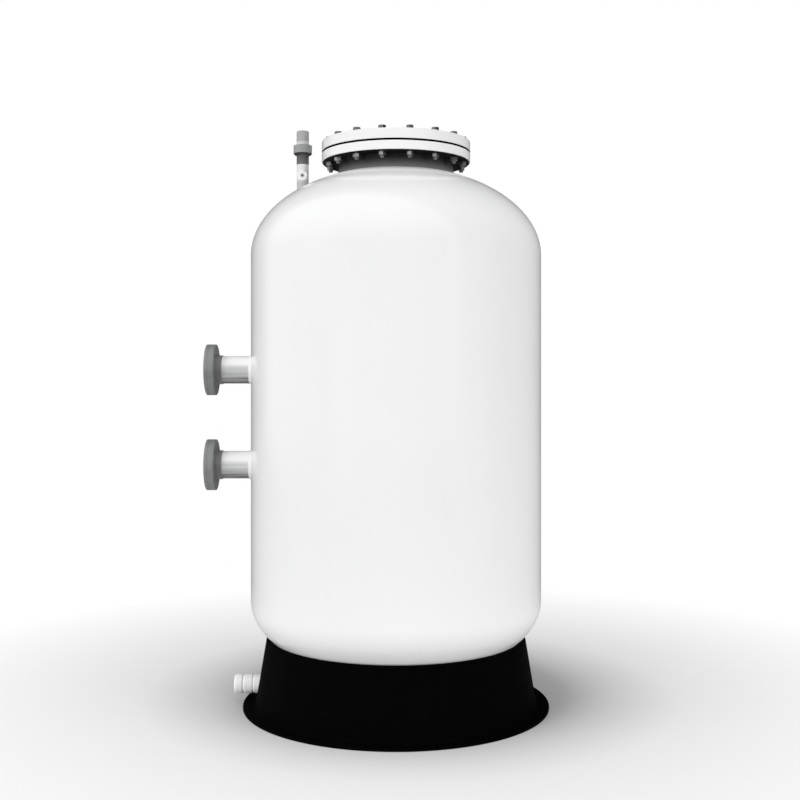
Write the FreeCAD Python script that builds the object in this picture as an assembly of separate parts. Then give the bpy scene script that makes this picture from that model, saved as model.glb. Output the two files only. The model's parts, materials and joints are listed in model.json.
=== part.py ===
import FreeCAD, Part
import math
import os

# Vertical sand filter for water: a glass fibre tank on a moulded base skirt, filled through a bolted
# manhole, with two flanged side connections, a vent on the dome and a drain under the dish.
# Lengths are in millimetres. The origin is on the tank's axis at floor level, +Z is up, the side
# connections point to -X and the front of the filter faces -Y.

V = FreeCAD.Vector

# Fits used all over the filter
BOND_GAP = 0.3          # room for adhesive or laminate between two bonded or seated curved faces
RUNNING_GAP = 0.05      # radial play of a screw thread or guide
GRAIN_GAP = 0.6         # the filter bed stays this far from the walls and pipes it surrounds

# Tank: a bottom dish, a straight wall and a top dome, bonded at two seams
TANK_RADIUS = 525.0
TANK_WALL = 10.0
DOME_START_Z = 1624.0
DOME_RISE = 320.0
DISH_START_Z = 384.0
DISH_DROP = 268.0

# Base skirt
LIP_INSET = 71.0        # the top lip meets the dish this far in from the tank's side
LIP_WIDTH = 14.0
LIP_ROUND = 11.0
SEAT_WIDTH = 24.0
SEAT_DEPTH = 14.0
SEAT_HAUNCH = 20.0
SKIRT_TAPER = 9.47      # degrees
SKIRT_WALL = 12.0
FOOT_WIDTH = 43.9
FOOT_THICKNESS = 9.5
FOOT_EDGE_ROUND = 4.0
FOOT_FILLET = 12.0

# Manhole
NECK_RADIUS = 210.0
NECK_WALL = 10.0
NECK_HEIGHT = 52.7      # from the dome's crown to the flange's top
NECK_LAP = 8.0          # how far the neck reaches below the dome's inside
NECK_FOOT_WIDTH = 15.0
NECK_FOOT_HEIGHT = 13.0
NECK_FOOT_LIP = 2.0
NECK_FOOT_ROUND = 10.0
FLANGE_WIDTH = 60.0     # from the neck's outside to the rim
FLANGE_THICKNESS = 31.0
FLANGE_ROUND = 2.5
GASKET_THICKNESS = 6.8
GASKET_SETBACK = 1.5
COVER_THICKNESS = 35.7
COVER_ROUND = 3.0
BACKING_THICKNESS = 3.0
BACKING_SETBACK = 4.0
BOLT_COUNT = 16
BOLT_OFFSET = 35.0      # from the neck's outside to the bolt circle
BOLT_RADIUS = 8.0
BOLT_LENGTH = 101.0
BOLT_HOLE_RADIUS = 9.0
HEX_ACROSS_FLATS = 24.0
HEAD_HEIGHT = 10.0
NUT_HEIGHT = 13.4
WASHER_RADIUS = 15.0
WASHER_THICKNESS = 3.0
MANHOLE_RADIUS = NECK_RADIUS + FLANGE_WIDTH
BOLT_CIRCLE_RADIUS = NECK_RADIUS + BOLT_OFFSET
FLANGE_TOP_Z = DOME_START_Z + DOME_RISE + NECK_HEIGHT
COVER_TOP_Z = FLANGE_TOP_Z + GASKET_THICKNESS + COVER_THICKNESS

# Side connections. A name that ends in S is a distance outwards from the tank's axis
INLET_Z = 1213.0
OUTLET_Z = 867.0
NOZZLE_RADIUS = 50.0
NOZZLE_BORE = 38.0
NOZZLE_INSIDE = 25.0
NOZZLE_REACH = 105.0
NOZZLE_STEP_WALL = 12.0
FLARE_WIDTH = 8.0
FLARE_HEIGHT = 8.0
FLARE_LIP = 2.0
STUB_STEP = 2.5
STUB_COLLAR_LENGTH = 24.0
SIDE_FLANGE_RADIUS = 92.5
SIDE_RING_THICKNESS = 22.0
SIDE_FACE_THICKNESS = 12.0
SIDE_EDGE_ROUND = 1.2
SIDE_BOLT_COUNT = 4
SIDE_BOLT_CIRCLE_RADIUS = 72.5
SIDE_BOLT_HOLE_RADIUS = 9.0
NOZZLE_INNER_S = TANK_RADIUS - NOZZLE_INSIDE
NOZZLE_OUTER_S = TANK_RADIUS + NOZZLE_REACH
STUB_RADIUS = NOZZLE_RADIUS + STUB_STEP

# Inside piping
PIPE_RADIUS = 37.5
PIPE_WALL = 3.6
ELBOW_WALL = 5.5
ELBOW_BEND = 60.0
ELBOW_LEG = 100.0
SOCKET_DEPTH = 38.0
RISER_INSET = 145.0
RISER_HEIGHT = 237.0    # from the inlet up to the cross pipe
DIFFUSER_RADIUS = 120.0
DIFFUSER_RISE = 44.0
DIFFUSER_WALL = 4.0
DIFFUSER_THROAT_ROUND = 16.0
HEADER_DROP = 84.0      # from the dish's seam down to the header
HEADER_INSET = 130.0
CAP_DEPTH = 30.0
CAP_WALL = 6.0
ELBOW_RADIUS = PIPE_RADIUS + ELBOW_WALL
RISER_X = RISER_INSET - TANK_RADIUS
CROSS_Z = INLET_Z + RISER_HEIGHT
HEADER_Z = DISH_START_Z - HEADER_DROP
HEADER_END_X = TANK_RADIUS - HEADER_INSET

# Laterals on the header
LATERALS_PER_SIDE = 6
LATERAL_MARGIN_AT_ELBOW = 25.0
LATERAL_MARGIN_AT_CAP = 60.0
LATERAL_RADIUS = 16.0
LATERAL_WALL = 3.0
LATERAL_STEM_RADIUS = 10.0
LATERAL_INSET = 70.0    # the tips end this far inside the tank's side
SLOT_PITCH = 24.0
SLOT_WIDTH = 0.8
SLOT_DEPTH = 11.0
SADDLE_PLACES = (0.5, 3.5)      # counted in laterals from the first one
SADDLE_THICKNESS = 28.0
SADDLE_WIDTH = 70.0
SADDLE_CRADLE = 14.0
LATERAL_FIRST_X = RISER_X + ELBOW_LEG + LATERAL_MARGIN_AT_ELBOW
LATERAL_LAST_X = HEADER_END_X - LATERAL_MARGIN_AT_CAP
LATERAL_PITCH = (LATERAL_LAST_X - LATERAL_FIRST_X) / (LATERALS_PER_SIDE - 1)

# Filter bed
GRAVEL_RISE = 11.0      # above the dish's seam
FREEBOARD = 294.0       # from the sand up to the dome's seam
GRAVEL_TOP_Z = DISH_START_Z + GRAVEL_RISE
SAND_TOP_Z = DOME_START_Z - FREEBOARD

# Vent on the dome
VENT_X = -340.0
VENT_RADIUS = 21.5
VENT_BORE = 9.0
VENT_HEIGHT = 93.2      # above the dome on the vent's axis
VENT_STEM_RADIUS = 15.0
VENT_PAD_RADIUS = 30.0
VENT_PAD_DEPTH = 11.6
VENT_NUT_RADIUS = 26.0
VENT_NUT_HEIGHT = 12.0
VENT_SPIGOT_RADIUS = 16.0
VENT_SPIGOT_HEIGHT = 14.0
BLEED_DROP = 43.0       # from the vent body's top to the bleed screw
BLEED_BOSS_RADIUS = 15.0
BLEED_BOSS_PROUD = 4.0
BLEED_HEAD_RADIUS = 5.0
BLEED_HEAD_HEIGHT = 4.0
BLEED_HEAD_ROUND = 1.0
BLEED_STEM_RADIUS = 3.0
BLEED_SEAL_RADIUS = 0.9
BLEED_SLOT_WIDTH = 1.2
BLEED_SLOT_DEPTH = 1.5

# Union and air valve above the vent body
UNION_RADIUS = 22.25
UNION_BORE = 12.0
UNION_SHANK_HEIGHT = 42.0
THREAD_RADIUS = 27.0
THREAD_HEIGHT = 19.0
NUT_SKIRT = 11.5        # how far the union nut hangs below the thread
NUT_RADIUS = 33.5
NUT_GRIP_HEIGHT = 9.5
NUT_GRIP_TAPER = 2.5
NUT_RIBS = 24
NUT_RIB_GROOVE = 2.2
NUT_LIP = 3.0
NUT_ROUND = 1.5
UNION_SEAL_RADIUS = 1.7
UNION_SEAL_CIRCLE = 19.0
VALVE_RADIUS = 22.5
VALVE_BORE = 9.0
VALVE_COLLAR = 4.9
VALVE_RING_HEIGHT = 14.0    # smooth ring above the union nut
VALVE_CAP_HEIGHT = 39.0
VALVE_THREAD_RADIUS = 18.0
VALVE_THREAD_HEIGHT = 7.0
VALVE_ROOF = 5.0
VALVE_TOP_ROUND = 7.0
VALVE_FLUTES = 20
VALVE_FLUTE_RADIUS = 1.6
VALVE_FLUTE_DEPTH = 0.8
VALVE_ORIFICE = 1.5
FLOAT_RADIUS = 13.0
FLOAT_TRAVEL = 7.0
FLOAT_EDGE_ROUND = 1.5
FLOAT_CONE_HEIGHT = 4.5
AIR_GROOVE_WIDTH = 4.0
AIR_GROOVE_DEPTH = 2.5

# Drain through the skirt
DRAIN_BOSS_DROP = 10.0      # below the dish's lowest point
DRAIN_ELBOW_RISE = 36.5
DRAIN_RADIUS = 34.0
DRAIN_GROOVE_RADIUS = 32.5
DRAIN_THREAD_RADIUS = 29.0
DRAIN_BORE = 21.0
DRAIN_PIPE_RADIUS = 25.0
DRAIN_BACK_RADIUS = 30.0
DRAIN_BACK_LENGTH = 43.0
DRAIN_SOCKET_DEPTH = 24.0
DRAIN_FIRST_RING = 20.0
DRAIN_GROOVE_WIDTH = 6.0
DRAIN_SECOND_RING = 27.0
DRAIN_NECK_LENGTH = 9.0
DRAIN_CAP_LENGTH = 32.0
DRAIN_CAP_FRONT = 6.0
DRAIN_CAP_ROUND = 5.0
DRAIN_SEAL_THICKNESS = 2.0
DRAIN_LOCK_RADIUS = 40.0
DRAIN_LOCK_THICKNESS = 14.0
DRAIN_EDGE_ROUND = 1.5
DRAIN_ELBOW_RADIUS = 31.0
DRAIN_ELBOW_LEG = 52.0
STRAINER_STEM_RADIUS = 19.0
STRAINER_STEM_WALL = 3.0
STRAINER_STEM_INSERT = 20.0
STRAINER_RADIUS = 46.0
STRAINER_HEIGHT = 34.0
STRAINER_ROUND = 11.0
STRAINER_SLOTS = 12
STRAINER_SLOT_WIDTH = 1.5
STRAINER_SLOT_HEIGHT = 11.0
DRAIN_BOSS_Z = DISH_START_Z - DISH_DROP - DRAIN_BOSS_DROP
DRAIN_Z = DRAIN_BOSS_Z - DRAIN_ELBOW_RISE


def outline(points):
    """Closed wire in the XZ plane through (r, z) or (r, z, corner radius) points."""
    count = len(points)
    corners = []
    for index, point in enumerate(points):
        here = V(point[0], 0, point[1])
        radius = point[2] if len(point) > 2 else 0.0
        if radius == 0.0:
            corners.append((here, here, None))
            continue
        previous = points[index - 1]
        following = points[(index + 1) % count]
        back = (V(previous[0], 0, previous[1]) - here).normalize()
        ahead = (V(following[0], 0, following[1]) - here).normalize()
        half = back.getAngle(ahead) / 2
        reach = radius / math.tan(half)
        inward = (back + ahead).normalize()
        middle = here + inward * (radius / math.sin(half) - radius)
        corners.append((here + back * reach, here + ahead * reach, middle))
    edges = []
    for index, (start, end, middle) in enumerate(corners):
        if middle is not None:
            edges.append(Part.Arc(start, middle, end).toShape())
        next_start = corners[(index + 1) % count][0]
        if (next_start - end).Length > 1e-6:
            edges.append(Part.LineSegment(end, next_start).toShape())
    return Part.Wire(edges)


def turned(points):
    """Solid turned about the Z axis from an outline."""
    return Part.Face(outline(points)).revolve(V(0, 0, 0), V(0, 0, 1), 360)


def rod(radius, low, high):
    return Part.makeCylinder(radius, high - low, V(0, 0, low))


def sleeve(inner, outer, low, high):
    return turned([(inner, low), (outer, low), (outer, high), (inner, high)])


def ring_of(shape, count, first_angle=0.0):
    """Copies of a shape spread evenly about the Z axis."""
    copies = []
    for index in range(count):
        copy = shape.copy()
        copy.rotate(V(0, 0, 0), V(0, 0, 1), first_angle + index * 360.0 / count)
        copies.append(copy)
    return copies


def sideways(shape, height):
    """Turn a piece made along +Z so that it points to -X at the given height."""
    copy = shape.copy()
    copy.rotate(V(0, 0, 0), V(0, 1, 0), -90)
    copy.translate(V(0, 0, height))
    return copy


def at_vent(shape):
    copy = shape.copy()
    copy.translate(V(VENT_X, 0, 0))
    return copy


def dome_z(radius, inset=0.0):
    """Height of the dome's outside, or of the face that lies inset below it."""
    share = radius / (TANK_RADIUS - inset)
    return DOME_START_Z + (DOME_RISE - inset) * math.sqrt(1 - share * share)


def dish_z(radius, inset=0.0):
    share = radius / (TANK_RADIUS - inset)
    return DISH_START_Z - (DISH_DROP - inset) * math.sqrt(1 - share * share)


def vessel(inset):
    """Solid with the tank's outer form, made smaller all round by inset."""
    radius = TANK_RADIUS - inset
    top = V(0, 0, DOME_START_Z + DOME_RISE - inset)
    bottom = V(0, 0, DISH_START_Z - DISH_DROP + inset)
    dome = Part.Ellipse(V(radius, 0, DOME_START_Z), top, V(0, 0, DOME_START_Z))
    dish = Part.Ellipse(V(radius, 0, DISH_START_Z), bottom, V(0, 0, DISH_START_Z))
    quarter = math.pi / 2
    edges = [
        Part.LineSegment(top, bottom).toShape(),
        Part.ArcOfEllipse(dish, 0, quarter).toBSpline().toShape(),
        Part.LineSegment(V(radius, 0, DISH_START_Z), V(radius, 0, DOME_START_Z)).toShape(),
        Part.ArcOfEllipse(dome, 0, quarter).toBSpline().toShape(),
    ]
    wire = Part.Wire(Part.__sortEdges__(edges))
    return Part.Face(wire).revolve(V(0, 0, 0), V(0, 0, 1), 360)


LIP_RADIUS = TANK_RADIUS - LIP_INSET
LIP_Z = dish_z(LIP_RADIUS)


def skirt_radius(height):
    """Outside of the skirt, which widens from the lip down to the floor."""
    return LIP_RADIUS + LIP_WIDTH + (LIP_Z - height) * math.tan(math.radians(SKIRT_TAPER))


FOOT_RADIUS = skirt_radius(0) + FOOT_WIDTH

# Heights of the vent, whose foot follows the dome
VENT_PAD_Z = dome_z(abs(VENT_X) + VENT_PAD_RADIUS, TANK_WALL) - VENT_PAD_DEPTH
VENT_TOP_Z = dome_z(VENT_X) + VENT_HEIGHT
BLEED_Z = VENT_TOP_Z - BLEED_DROP
THREAD_LOW_Z = VENT_TOP_Z + UNION_SHANK_HEIGHT
THREAD_TOP_Z = THREAD_LOW_Z + THREAD_HEIGHT
COLLAR_LOW_Z = THREAD_TOP_Z + RUNNING_GAP
NUT_BOTTOM_Z = THREAD_LOW_Z - NUT_SKIRT
NUT_TOP_Z = COLLAR_LOW_Z + VALVE_COLLAR + RUNNING_GAP + NUT_LIP
VALVE_SEAT_Z = NUT_TOP_Z + VALVE_RING_HEIGHT
VALVE_TOP_Z = VALVE_SEAT_Z + VALVE_CAP_HEIGHT

# Stations of the drain, counted outwards from the skirt's face
DRAIN_FACE_S = skirt_radius(DRAIN_Z)
DRAIN_BACK_S = DRAIN_FACE_S - DRAIN_BACK_LENGTH
DRAIN_FIRST_RING_END_S = DRAIN_FACE_S + DRAIN_FIRST_RING
DRAIN_SECOND_RING_S = DRAIN_FIRST_RING_END_S + DRAIN_GROOVE_WIDTH
DRAIN_SECOND_RING_END_S = DRAIN_SECOND_RING_S + DRAIN_SECOND_RING
DRAIN_CAP_S = DRAIN_SECOND_RING_END_S + DRAIN_NECK_LENGTH
DRAIN_CAP_END_S = DRAIN_CAP_S + DRAIN_CAP_LENGTH


def skirt_cone(offset):
    """Solid cone with the skirt's outer slope, moved outwards by offset."""
    return Part.makeCone(skirt_radius(0) + offset, skirt_radius(LIP_Z) + offset, LIP_Z)


def base_skirt():
    """Conical moulding with a flat foot, whose haunched rim carries the dish."""
    seat_radius = LIP_RADIUS - SEAT_WIDTH
    seat_z = dish_z(seat_radius) - SEAT_DEPTH
    haunch_z = seat_z - SEAT_HAUNCH
    shell = turned([
        (skirt_radius(0) - SKIRT_WALL, 0),
        (FOOT_RADIUS, 0),
        (FOOT_RADIUS, FOOT_THICKNESS, FOOT_EDGE_ROUND),
        (skirt_radius(FOOT_THICKNESS), FOOT_THICKNESS, FOOT_FILLET),
        (skirt_radius(LIP_Z), LIP_Z, LIP_ROUND),
        (seat_radius, LIP_Z),
        (seat_radius, seat_z),
        (skirt_radius(haunch_z) - SKIRT_WALL, haunch_z),
    ])
    drain_hole = sideways(rod(DRAIN_BACK_RADIUS + BOND_GAP, DRAIN_BACK_S, FOOT_RADIUS), DRAIN_Z)
    return shell.cut([vessel(-BOND_GAP), drain_hole])


def nozzle_flare(height):
    """Laminate that flares from the tank's wall to a side connection."""
    inside = TANK_RADIUS - TANK_WALL
    low = inside - FLARE_WIDTH
    wide = NOZZLE_RADIUS + FLARE_WIDTH
    wall = math.sqrt(TANK_RADIUS ** 2 - wide ** 2)
    tip = TANK_RADIUS + FLARE_HEIGHT
    flare = turned([
        (NOZZLE_RADIUS + BOND_GAP, low),
        (wide, low),
        (wide, wall),
        (NOZZLE_RADIUS + TANK_WALL / 2, TANK_RADIUS + FLARE_LIP, FLARE_WIDTH / 2),
        (NOZZLE_RADIUS + FLARE_LIP, tip),
        (NOZZLE_RADIUS + BOND_GAP, tip),
    ])
    return sideways(flare, height).cut(rod(inside, height - wide, height + wide))


def tank_wall():
    """Straight wound wall, with the two side connections' openings laminated into it."""
    wall = sleeve(TANK_RADIUS - TANK_WALL, TANK_RADIUS, DISH_START_Z, DOME_START_Z)
    heights = (INLET_Z, OUTLET_Z)
    openings = [sideways(rod(NOZZLE_RADIUS + BOND_GAP, 0, NOZZLE_OUTER_S), height) for height in heights]
    return wall.fuse([nozzle_flare(height) for height in heights]).cut(openings)


def end_shell(low, high):
    """The part of the hollow vessel between two heights."""
    return vessel(0).cut(vessel(TANK_WALL)).common(rod(2 * TANK_RADIUS, low, high))


def tank_dome():
    """Top end with the manhole's opening and a flat pad inside for the vent's nut."""
    crown = DOME_START_Z + DOME_RISE
    pad = at_vent(rod(VENT_PAD_RADIUS, VENT_PAD_Z, crown)).common(vessel(0))
    return end_shell(DOME_START_Z, crown).fuse(pad).cut([
        rod(NECK_RADIUS + BOND_GAP, DOME_START_Z, FLANGE_TOP_Z),
        at_vent(rod(VENT_STEM_RADIUS + BOND_GAP, DOME_START_Z, VENT_TOP_Z)),
    ])


def tank_dish():
    """Bottom end with a boss under it for the drain."""
    lowest = DISH_START_Z - DISH_DROP
    boss = rod(DRAIN_ELBOW_RADIUS, DRAIN_BOSS_Z, lowest + TANK_WALL)
    drain_hole = rod(STRAINER_STEM_RADIUS + BOND_GAP, DRAIN_BOSS_Z, DISH_START_Z)
    return end_shell(lowest, DISH_START_Z).fuse(boss).cut(drain_hole)


def manhole_neck():
    inner = NECK_RADIUS - NECK_WALL
    low = dome_z(NECK_RADIUS, TANK_WALL) - NECK_LAP
    tube = sleeve(inner, NECK_RADIUS, low, FLANGE_TOP_Z)
    foot_z = dome_z(NECK_RADIUS)
    foot = turned([
        (NECK_RADIUS - NECK_WALL / 2, foot_z - NECK_FOOT_HEIGHT),
        (NECK_RADIUS + NECK_FOOT_WIDTH, foot_z - NECK_FOOT_HEIGHT),
        (NECK_RADIUS + NECK_FOOT_WIDTH, dome_z(NECK_RADIUS + NECK_FOOT_WIDTH) + NECK_FOOT_LIP),
        (NECK_RADIUS + NECK_FOOT_LIP / 2, foot_z + NECK_FOOT_LIP, NECK_FOOT_ROUND),
        (NECK_RADIUS, foot_z + NECK_FOOT_HEIGHT),
        (NECK_RADIUS - NECK_WALL / 2, foot_z + NECK_FOOT_HEIGHT),
    ])
    return tube.fuse(foot.cut(vessel(-BOND_GAP)))


def bolt_ring(shape):
    """Sixteen places on the manhole's bolt circle, none of them on the front centre line."""
    copy = shape.copy()
    copy.translate(V(BOLT_CIRCLE_RADIUS, 0, 0))
    return ring_of(copy, BOLT_COUNT, 180.0 / BOLT_COUNT)


def bolt_holes():
    return bolt_ring(rod(BOLT_HOLE_RADIUS, dome_z(MANHOLE_RADIUS), FLANGE_TOP_Z + BOLT_LENGTH))


def manhole_flange():
    low = FLANGE_TOP_Z - FLANGE_THICKNESS
    inner = NECK_RADIUS + BOND_GAP
    ring = turned([
        (inner, low),
        (MANHOLE_RADIUS, low, FLANGE_ROUND),
        (MANHOLE_RADIUS, FLANGE_TOP_Z, FLANGE_ROUND),
        (inner, FLANGE_TOP_Z),
    ])
    return ring.cut(bolt_holes())


def flange_backing_ring():
    high = FLANGE_TOP_Z - FLANGE_THICKNESS
    ring = sleeve(NECK_RADIUS + BACKING_SETBACK, MANHOLE_RADIUS - BACKING_SETBACK,
                  high - BACKING_THICKNESS, high)
    return ring.cut(bolt_holes())


def manhole_gasket():
    ring = sleeve(NECK_RADIUS - NECK_WALL, MANHOLE_RADIUS - GASKET_SETBACK,
                  FLANGE_TOP_Z, FLANGE_TOP_Z + GASKET_THICKNESS)
    return ring.cut(bolt_holes())


def manhole_cover():
    low = FLANGE_TOP_Z + GASKET_THICKNESS
    disc = turned([
        (0, low),
        (MANHOLE_RADIUS, low, FLANGE_ROUND),
        (MANHOLE_RADIUS, COVER_TOP_Z, COVER_ROUND),
        (0, COVER_TOP_Z),
    ])
    return disc.cut(bolt_holes())


def hexagon(across_flats, low, high):
    radius = across_flats / math.sqrt(3)
    corners = []
    for index in range(7):
        angle = math.radians(index * 60)
        corners.append(V(radius * math.cos(angle), radius * math.sin(angle), low))
    return Part.Face(Part.makePolygon(corners)).extrude(V(0, 0, high - low))


def manhole_fasteners():
    """Bolts, top washers and nuts, each a group of separate solids."""
    under_head = COVER_TOP_Z + WASHER_THICKNESS
    shank = rod(BOLT_RADIUS, under_head - BOLT_LENGTH, under_head + HEAD_HEIGHT / 2)
    bolt = shank.fuse(hexagon(HEX_ACROSS_FLATS, under_head, under_head + HEAD_HEIGHT))
    washer = sleeve(BOLT_RADIUS + BOND_GAP, WASHER_RADIUS, COVER_TOP_Z, under_head)
    nut_top = FLANGE_TOP_Z - FLANGE_THICKNESS - BACKING_THICKNESS
    nut = hexagon(HEX_ACROSS_FLATS, nut_top - NUT_HEIGHT, nut_top)
    nut = nut.cut(rod(BOLT_RADIUS + RUNNING_GAP, nut_top - NUT_HEIGHT, nut_top))
    return bolt_ring(bolt.removeSplitter()), bolt_ring(washer), bolt_ring(nut)


def side_nozzle(height):
    """Pipe laminated into the wall, its inner end reduced to fit the elbow inside."""
    bore_end = NOZZLE_INNER_S + NOZZLE_STEP_WALL
    spigot_end = -RISER_X + ELBOW_LEG - SOCKET_DEPTH + BOND_GAP
    pipe = turned([
        (PIPE_RADIUS - PIPE_WALL, spigot_end),
        (PIPE_RADIUS, spigot_end),
        (PIPE_RADIUS, NOZZLE_INNER_S),
        (NOZZLE_RADIUS, NOZZLE_INNER_S),
        (NOZZLE_RADIUS, NOZZLE_OUTER_S),
        (NOZZLE_BORE, NOZZLE_OUTER_S),
        (NOZZLE_BORE, bore_end),
        (PIPE_RADIUS - PIPE_WALL, bore_end),
    ])
    return sideways(pipe, height)


def side_bolt_holes():
    low = NOZZLE_OUTER_S
    high = low + STUB_COLLAR_LENGTH + SIDE_RING_THICKNESS + SIDE_FACE_THICKNESS
    hole = rod(SIDE_BOLT_HOLE_RADIUS, low, high)
    hole.translate(V(SIDE_BOLT_CIRCLE_RADIUS, 0, 0))
    return ring_of(hole, SIDE_BOLT_COUNT, 180.0 / SIDE_BOLT_COUNT)


def side_stub(height):
    """Stub with a full drilled face, butted to the pipe's end."""
    face = NOZZLE_OUTER_S + STUB_COLLAR_LENGTH + SIDE_RING_THICKNESS
    end = face + SIDE_FACE_THICKNESS
    stub = turned([
        (NOZZLE_BORE, NOZZLE_OUTER_S),
        (STUB_RADIUS, NOZZLE_OUTER_S, SIDE_EDGE_ROUND),
        (STUB_RADIUS, face),
        (SIDE_FLANGE_RADIUS, face, SIDE_EDGE_ROUND),
        (SIDE_FLANGE_RADIUS, end, SIDE_EDGE_ROUND),
        (NOZZLE_BORE, end),
    ])
    return sideways(stub.cut(side_bolt_holes()), height)


def side_ring(height):
    low = NOZZLE_OUTER_S + STUB_COLLAR_LENGTH
    high = low + SIDE_RING_THICKNESS
    ring = turned([
        (STUB_RADIUS + BOND_GAP, low),
        (SIDE_FLANGE_RADIUS, low, SIDE_EDGE_ROUND),
        (SIDE_FLANGE_RADIUS, high, SIDE_EDGE_ROUND),
        (STUB_RADIUS + BOND_GAP, high),
    ])
    return sideways(ring.cut(side_bolt_holes()), height)


def bend(radius):
    """Solid quarter bend with two straight legs, along +X and +Z from the corner at the origin."""
    leg = ELBOW_LEG - ELBOW_BEND
    along_x = Part.makeCylinder(radius, leg, V(ELBOW_BEND, 0, 0), V(1, 0, 0))
    along_z = Part.makeCylinder(radius, leg, V(0, 0, ELBOW_BEND), V(0, 0, 1))
    circle = Part.makeCircle(radius, V(ELBOW_BEND, 0, 0), V(1, 0, 0))
    quarter = Part.Face(Part.Wire(circle)).revolve(V(ELBOW_BEND, 0, ELBOW_BEND), V(0, 1, 0), 90)
    return along_x.fuse([along_z, quarter])


def turn_to(shape, corner, first, second):
    """Move a bend so that its two legs point along first and second from the corner."""
    copy = shape.copy()
    turn = FreeCAD.Rotation(first, second.cross(first), second, "XZY")
    copy.Placement = FreeCAD.Placement(corner, turn)
    return copy


def elbow(corner, first, second):
    channel = bend(PIPE_RADIUS - PIPE_WALL)
    socket_low = ELBOW_LEG - SOCKET_DEPTH
    socket_x = Part.makeCylinder(PIPE_RADIUS + BOND_GAP, SOCKET_DEPTH, V(socket_low, 0, 0), V(1, 0, 0))
    socket_z = Part.makeCylinder(PIPE_RADIUS + BOND_GAP, SOCKET_DEPTH, V(0, 0, socket_low), V(0, 0, 1))
    piece = bend(ELBOW_RADIUS).cut([channel, socket_x, socket_z])
    return turn_to(piece, corner, first, second)


def elbow_places():
    """Corner and leg directions of the five elbows inside the tank."""
    outwards, inwards, up, down = V(-1, 0, 0), V(1, 0, 0), V(0, 0, 1), V(0, 0, -1)
    return {
        "inlet_elbow": (V(RISER_X, 0, INLET_Z), outwards, up),
        "riser_top_elbow": (V(RISER_X, 0, CROSS_Z), inwards, down),
        "diffuser_elbow": (V(0, 0, CROSS_Z), outwards, up),
        "outlet_elbow": (V(RISER_X, 0, OUTLET_Z), outwards, down),
        "collector_elbow": (V(RISER_X, 0, HEADER_Z), inwards, up),
    }


def straight(start, end, radius):
    axis = end - start
    return Part.makeCylinder(radius, axis.Length, start, axis)


def pipe_runs():
    """Ends of the straight pipes, each seated in its elbows' sockets."""
    seat = ELBOW_LEG - SOCKET_DEPTH + BOND_GAP
    return {
        "riser_pipe": (V(RISER_X, 0, INLET_Z + seat), V(RISER_X, 0, CROSS_Z - seat)),
        "cross_pipe": (V(RISER_X + seat, 0, CROSS_Z), V(-seat, 0, CROSS_Z)),
        "down_pipe": (V(RISER_X, 0, HEADER_Z + seat), V(RISER_X, 0, OUTLET_Z - seat)),
        "collector_header": (V(RISER_X + seat, 0, HEADER_Z), V(HEADER_END_X, 0, HEADER_Z)),
    }


def pipe(start, end):
    return straight(start, end, PIPE_RADIUS).cut(straight(start, end, PIPE_RADIUS - PIPE_WALL))


def top_diffuser():
    """Bell mouth that throws the raw water up under the dome."""
    low = CROSS_Z + ELBOW_LEG - SOCKET_DEPTH + BOND_GAP
    throat = CROSS_Z + ELBOW_LEG + DIFFUSER_THROAT_ROUND / 2
    high = throat + DIFFUSER_RISE
    inner = PIPE_RADIUS - PIPE_WALL
    return turned([
        (inner, low),
        (PIPE_RADIUS, low),
        (PIPE_RADIUS, throat, DIFFUSER_THROAT_ROUND - PIPE_WALL),
        (DIFFUSER_RADIUS, high - DIFFUSER_WALL),
        (DIFFUSER_RADIUS, high),
        (inner, throat + DIFFUSER_WALL, DIFFUSER_THROAT_ROUND),
    ])


def lateral_places():
    """Position along the header and tip distance of each pair of laterals."""
    reach = TANK_RADIUS - LATERAL_INSET
    places = []
    for index in range(LATERALS_PER_SIDE):
        x = LATERAL_FIRST_X + index * LATERAL_PITCH
        places.append((x, math.sqrt(reach ** 2 - x * x)))
    return places


def lateral(tip):
    """Slotted tube along +Z with a closed tip and a threaded stem that enters the header."""
    shoulder = PIPE_RADIUS + BOND_GAP
    inner = LATERAL_RADIUS - LATERAL_WALL
    stem_bore = LATERAL_STEM_RADIUS - LATERAL_WALL
    stem_start = PIPE_RADIUS - PIPE_WALL
    tube = turned([
        (stem_bore, stem_start),
        (LATERAL_STEM_RADIUS, stem_start),
        (LATERAL_STEM_RADIUS, shoulder),
        (LATERAL_RADIUS, shoulder),
        (LATERAL_RADIUS, tip, LATERAL_WALL),
        (0, tip),
        (0, tip - LATERAL_WALL),
        (inner, tip - LATERAL_WALL),
        (inner, shoulder + LATERAL_WALL),
        (stem_bore, shoulder + LATERAL_WALL),
    ])
    first = shoulder + SLOT_PITCH
    slots = []
    for index in range(int((tip - SLOT_PITCH - first) / SLOT_PITCH) + 1):
        slot = Part.makeBox(SLOT_DEPTH, 2 * LATERAL_RADIUS, SLOT_WIDTH)
        slot.translate(V(LATERAL_RADIUS - SLOT_DEPTH, -LATERAL_RADIUS, first + index * SLOT_PITCH))
        slots.append(slot)
    return tube.cut(slots)


def collector_laterals():
    """The slotted side faces down, so that backwash water lifts the gravel evenly."""
    group = []
    for x, tip in lateral_places():
        for side in (-1, 1):
            piece = lateral(tip)
            piece.rotate(V(0, 0, 0), V(0, 1, 0), 90)
            piece.rotate(V(0, 0, 0), V(0, 0, 1), side * 90)
            piece.translate(V(x, 0, HEADER_Z))
            group.append(piece)
    return group


def collector_header():
    start, end = pipe_runs()["collector_header"]
    holes = []
    for x, tip in lateral_places():
        middle = V(x, 0, HEADER_Z)
        across = V(0, ELBOW_RADIUS, 0)
        holes.append(straight(middle - across, middle + across, LATERAL_STEM_RADIUS + BOND_GAP))
    return pipe(start, end).cut(holes)


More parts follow.
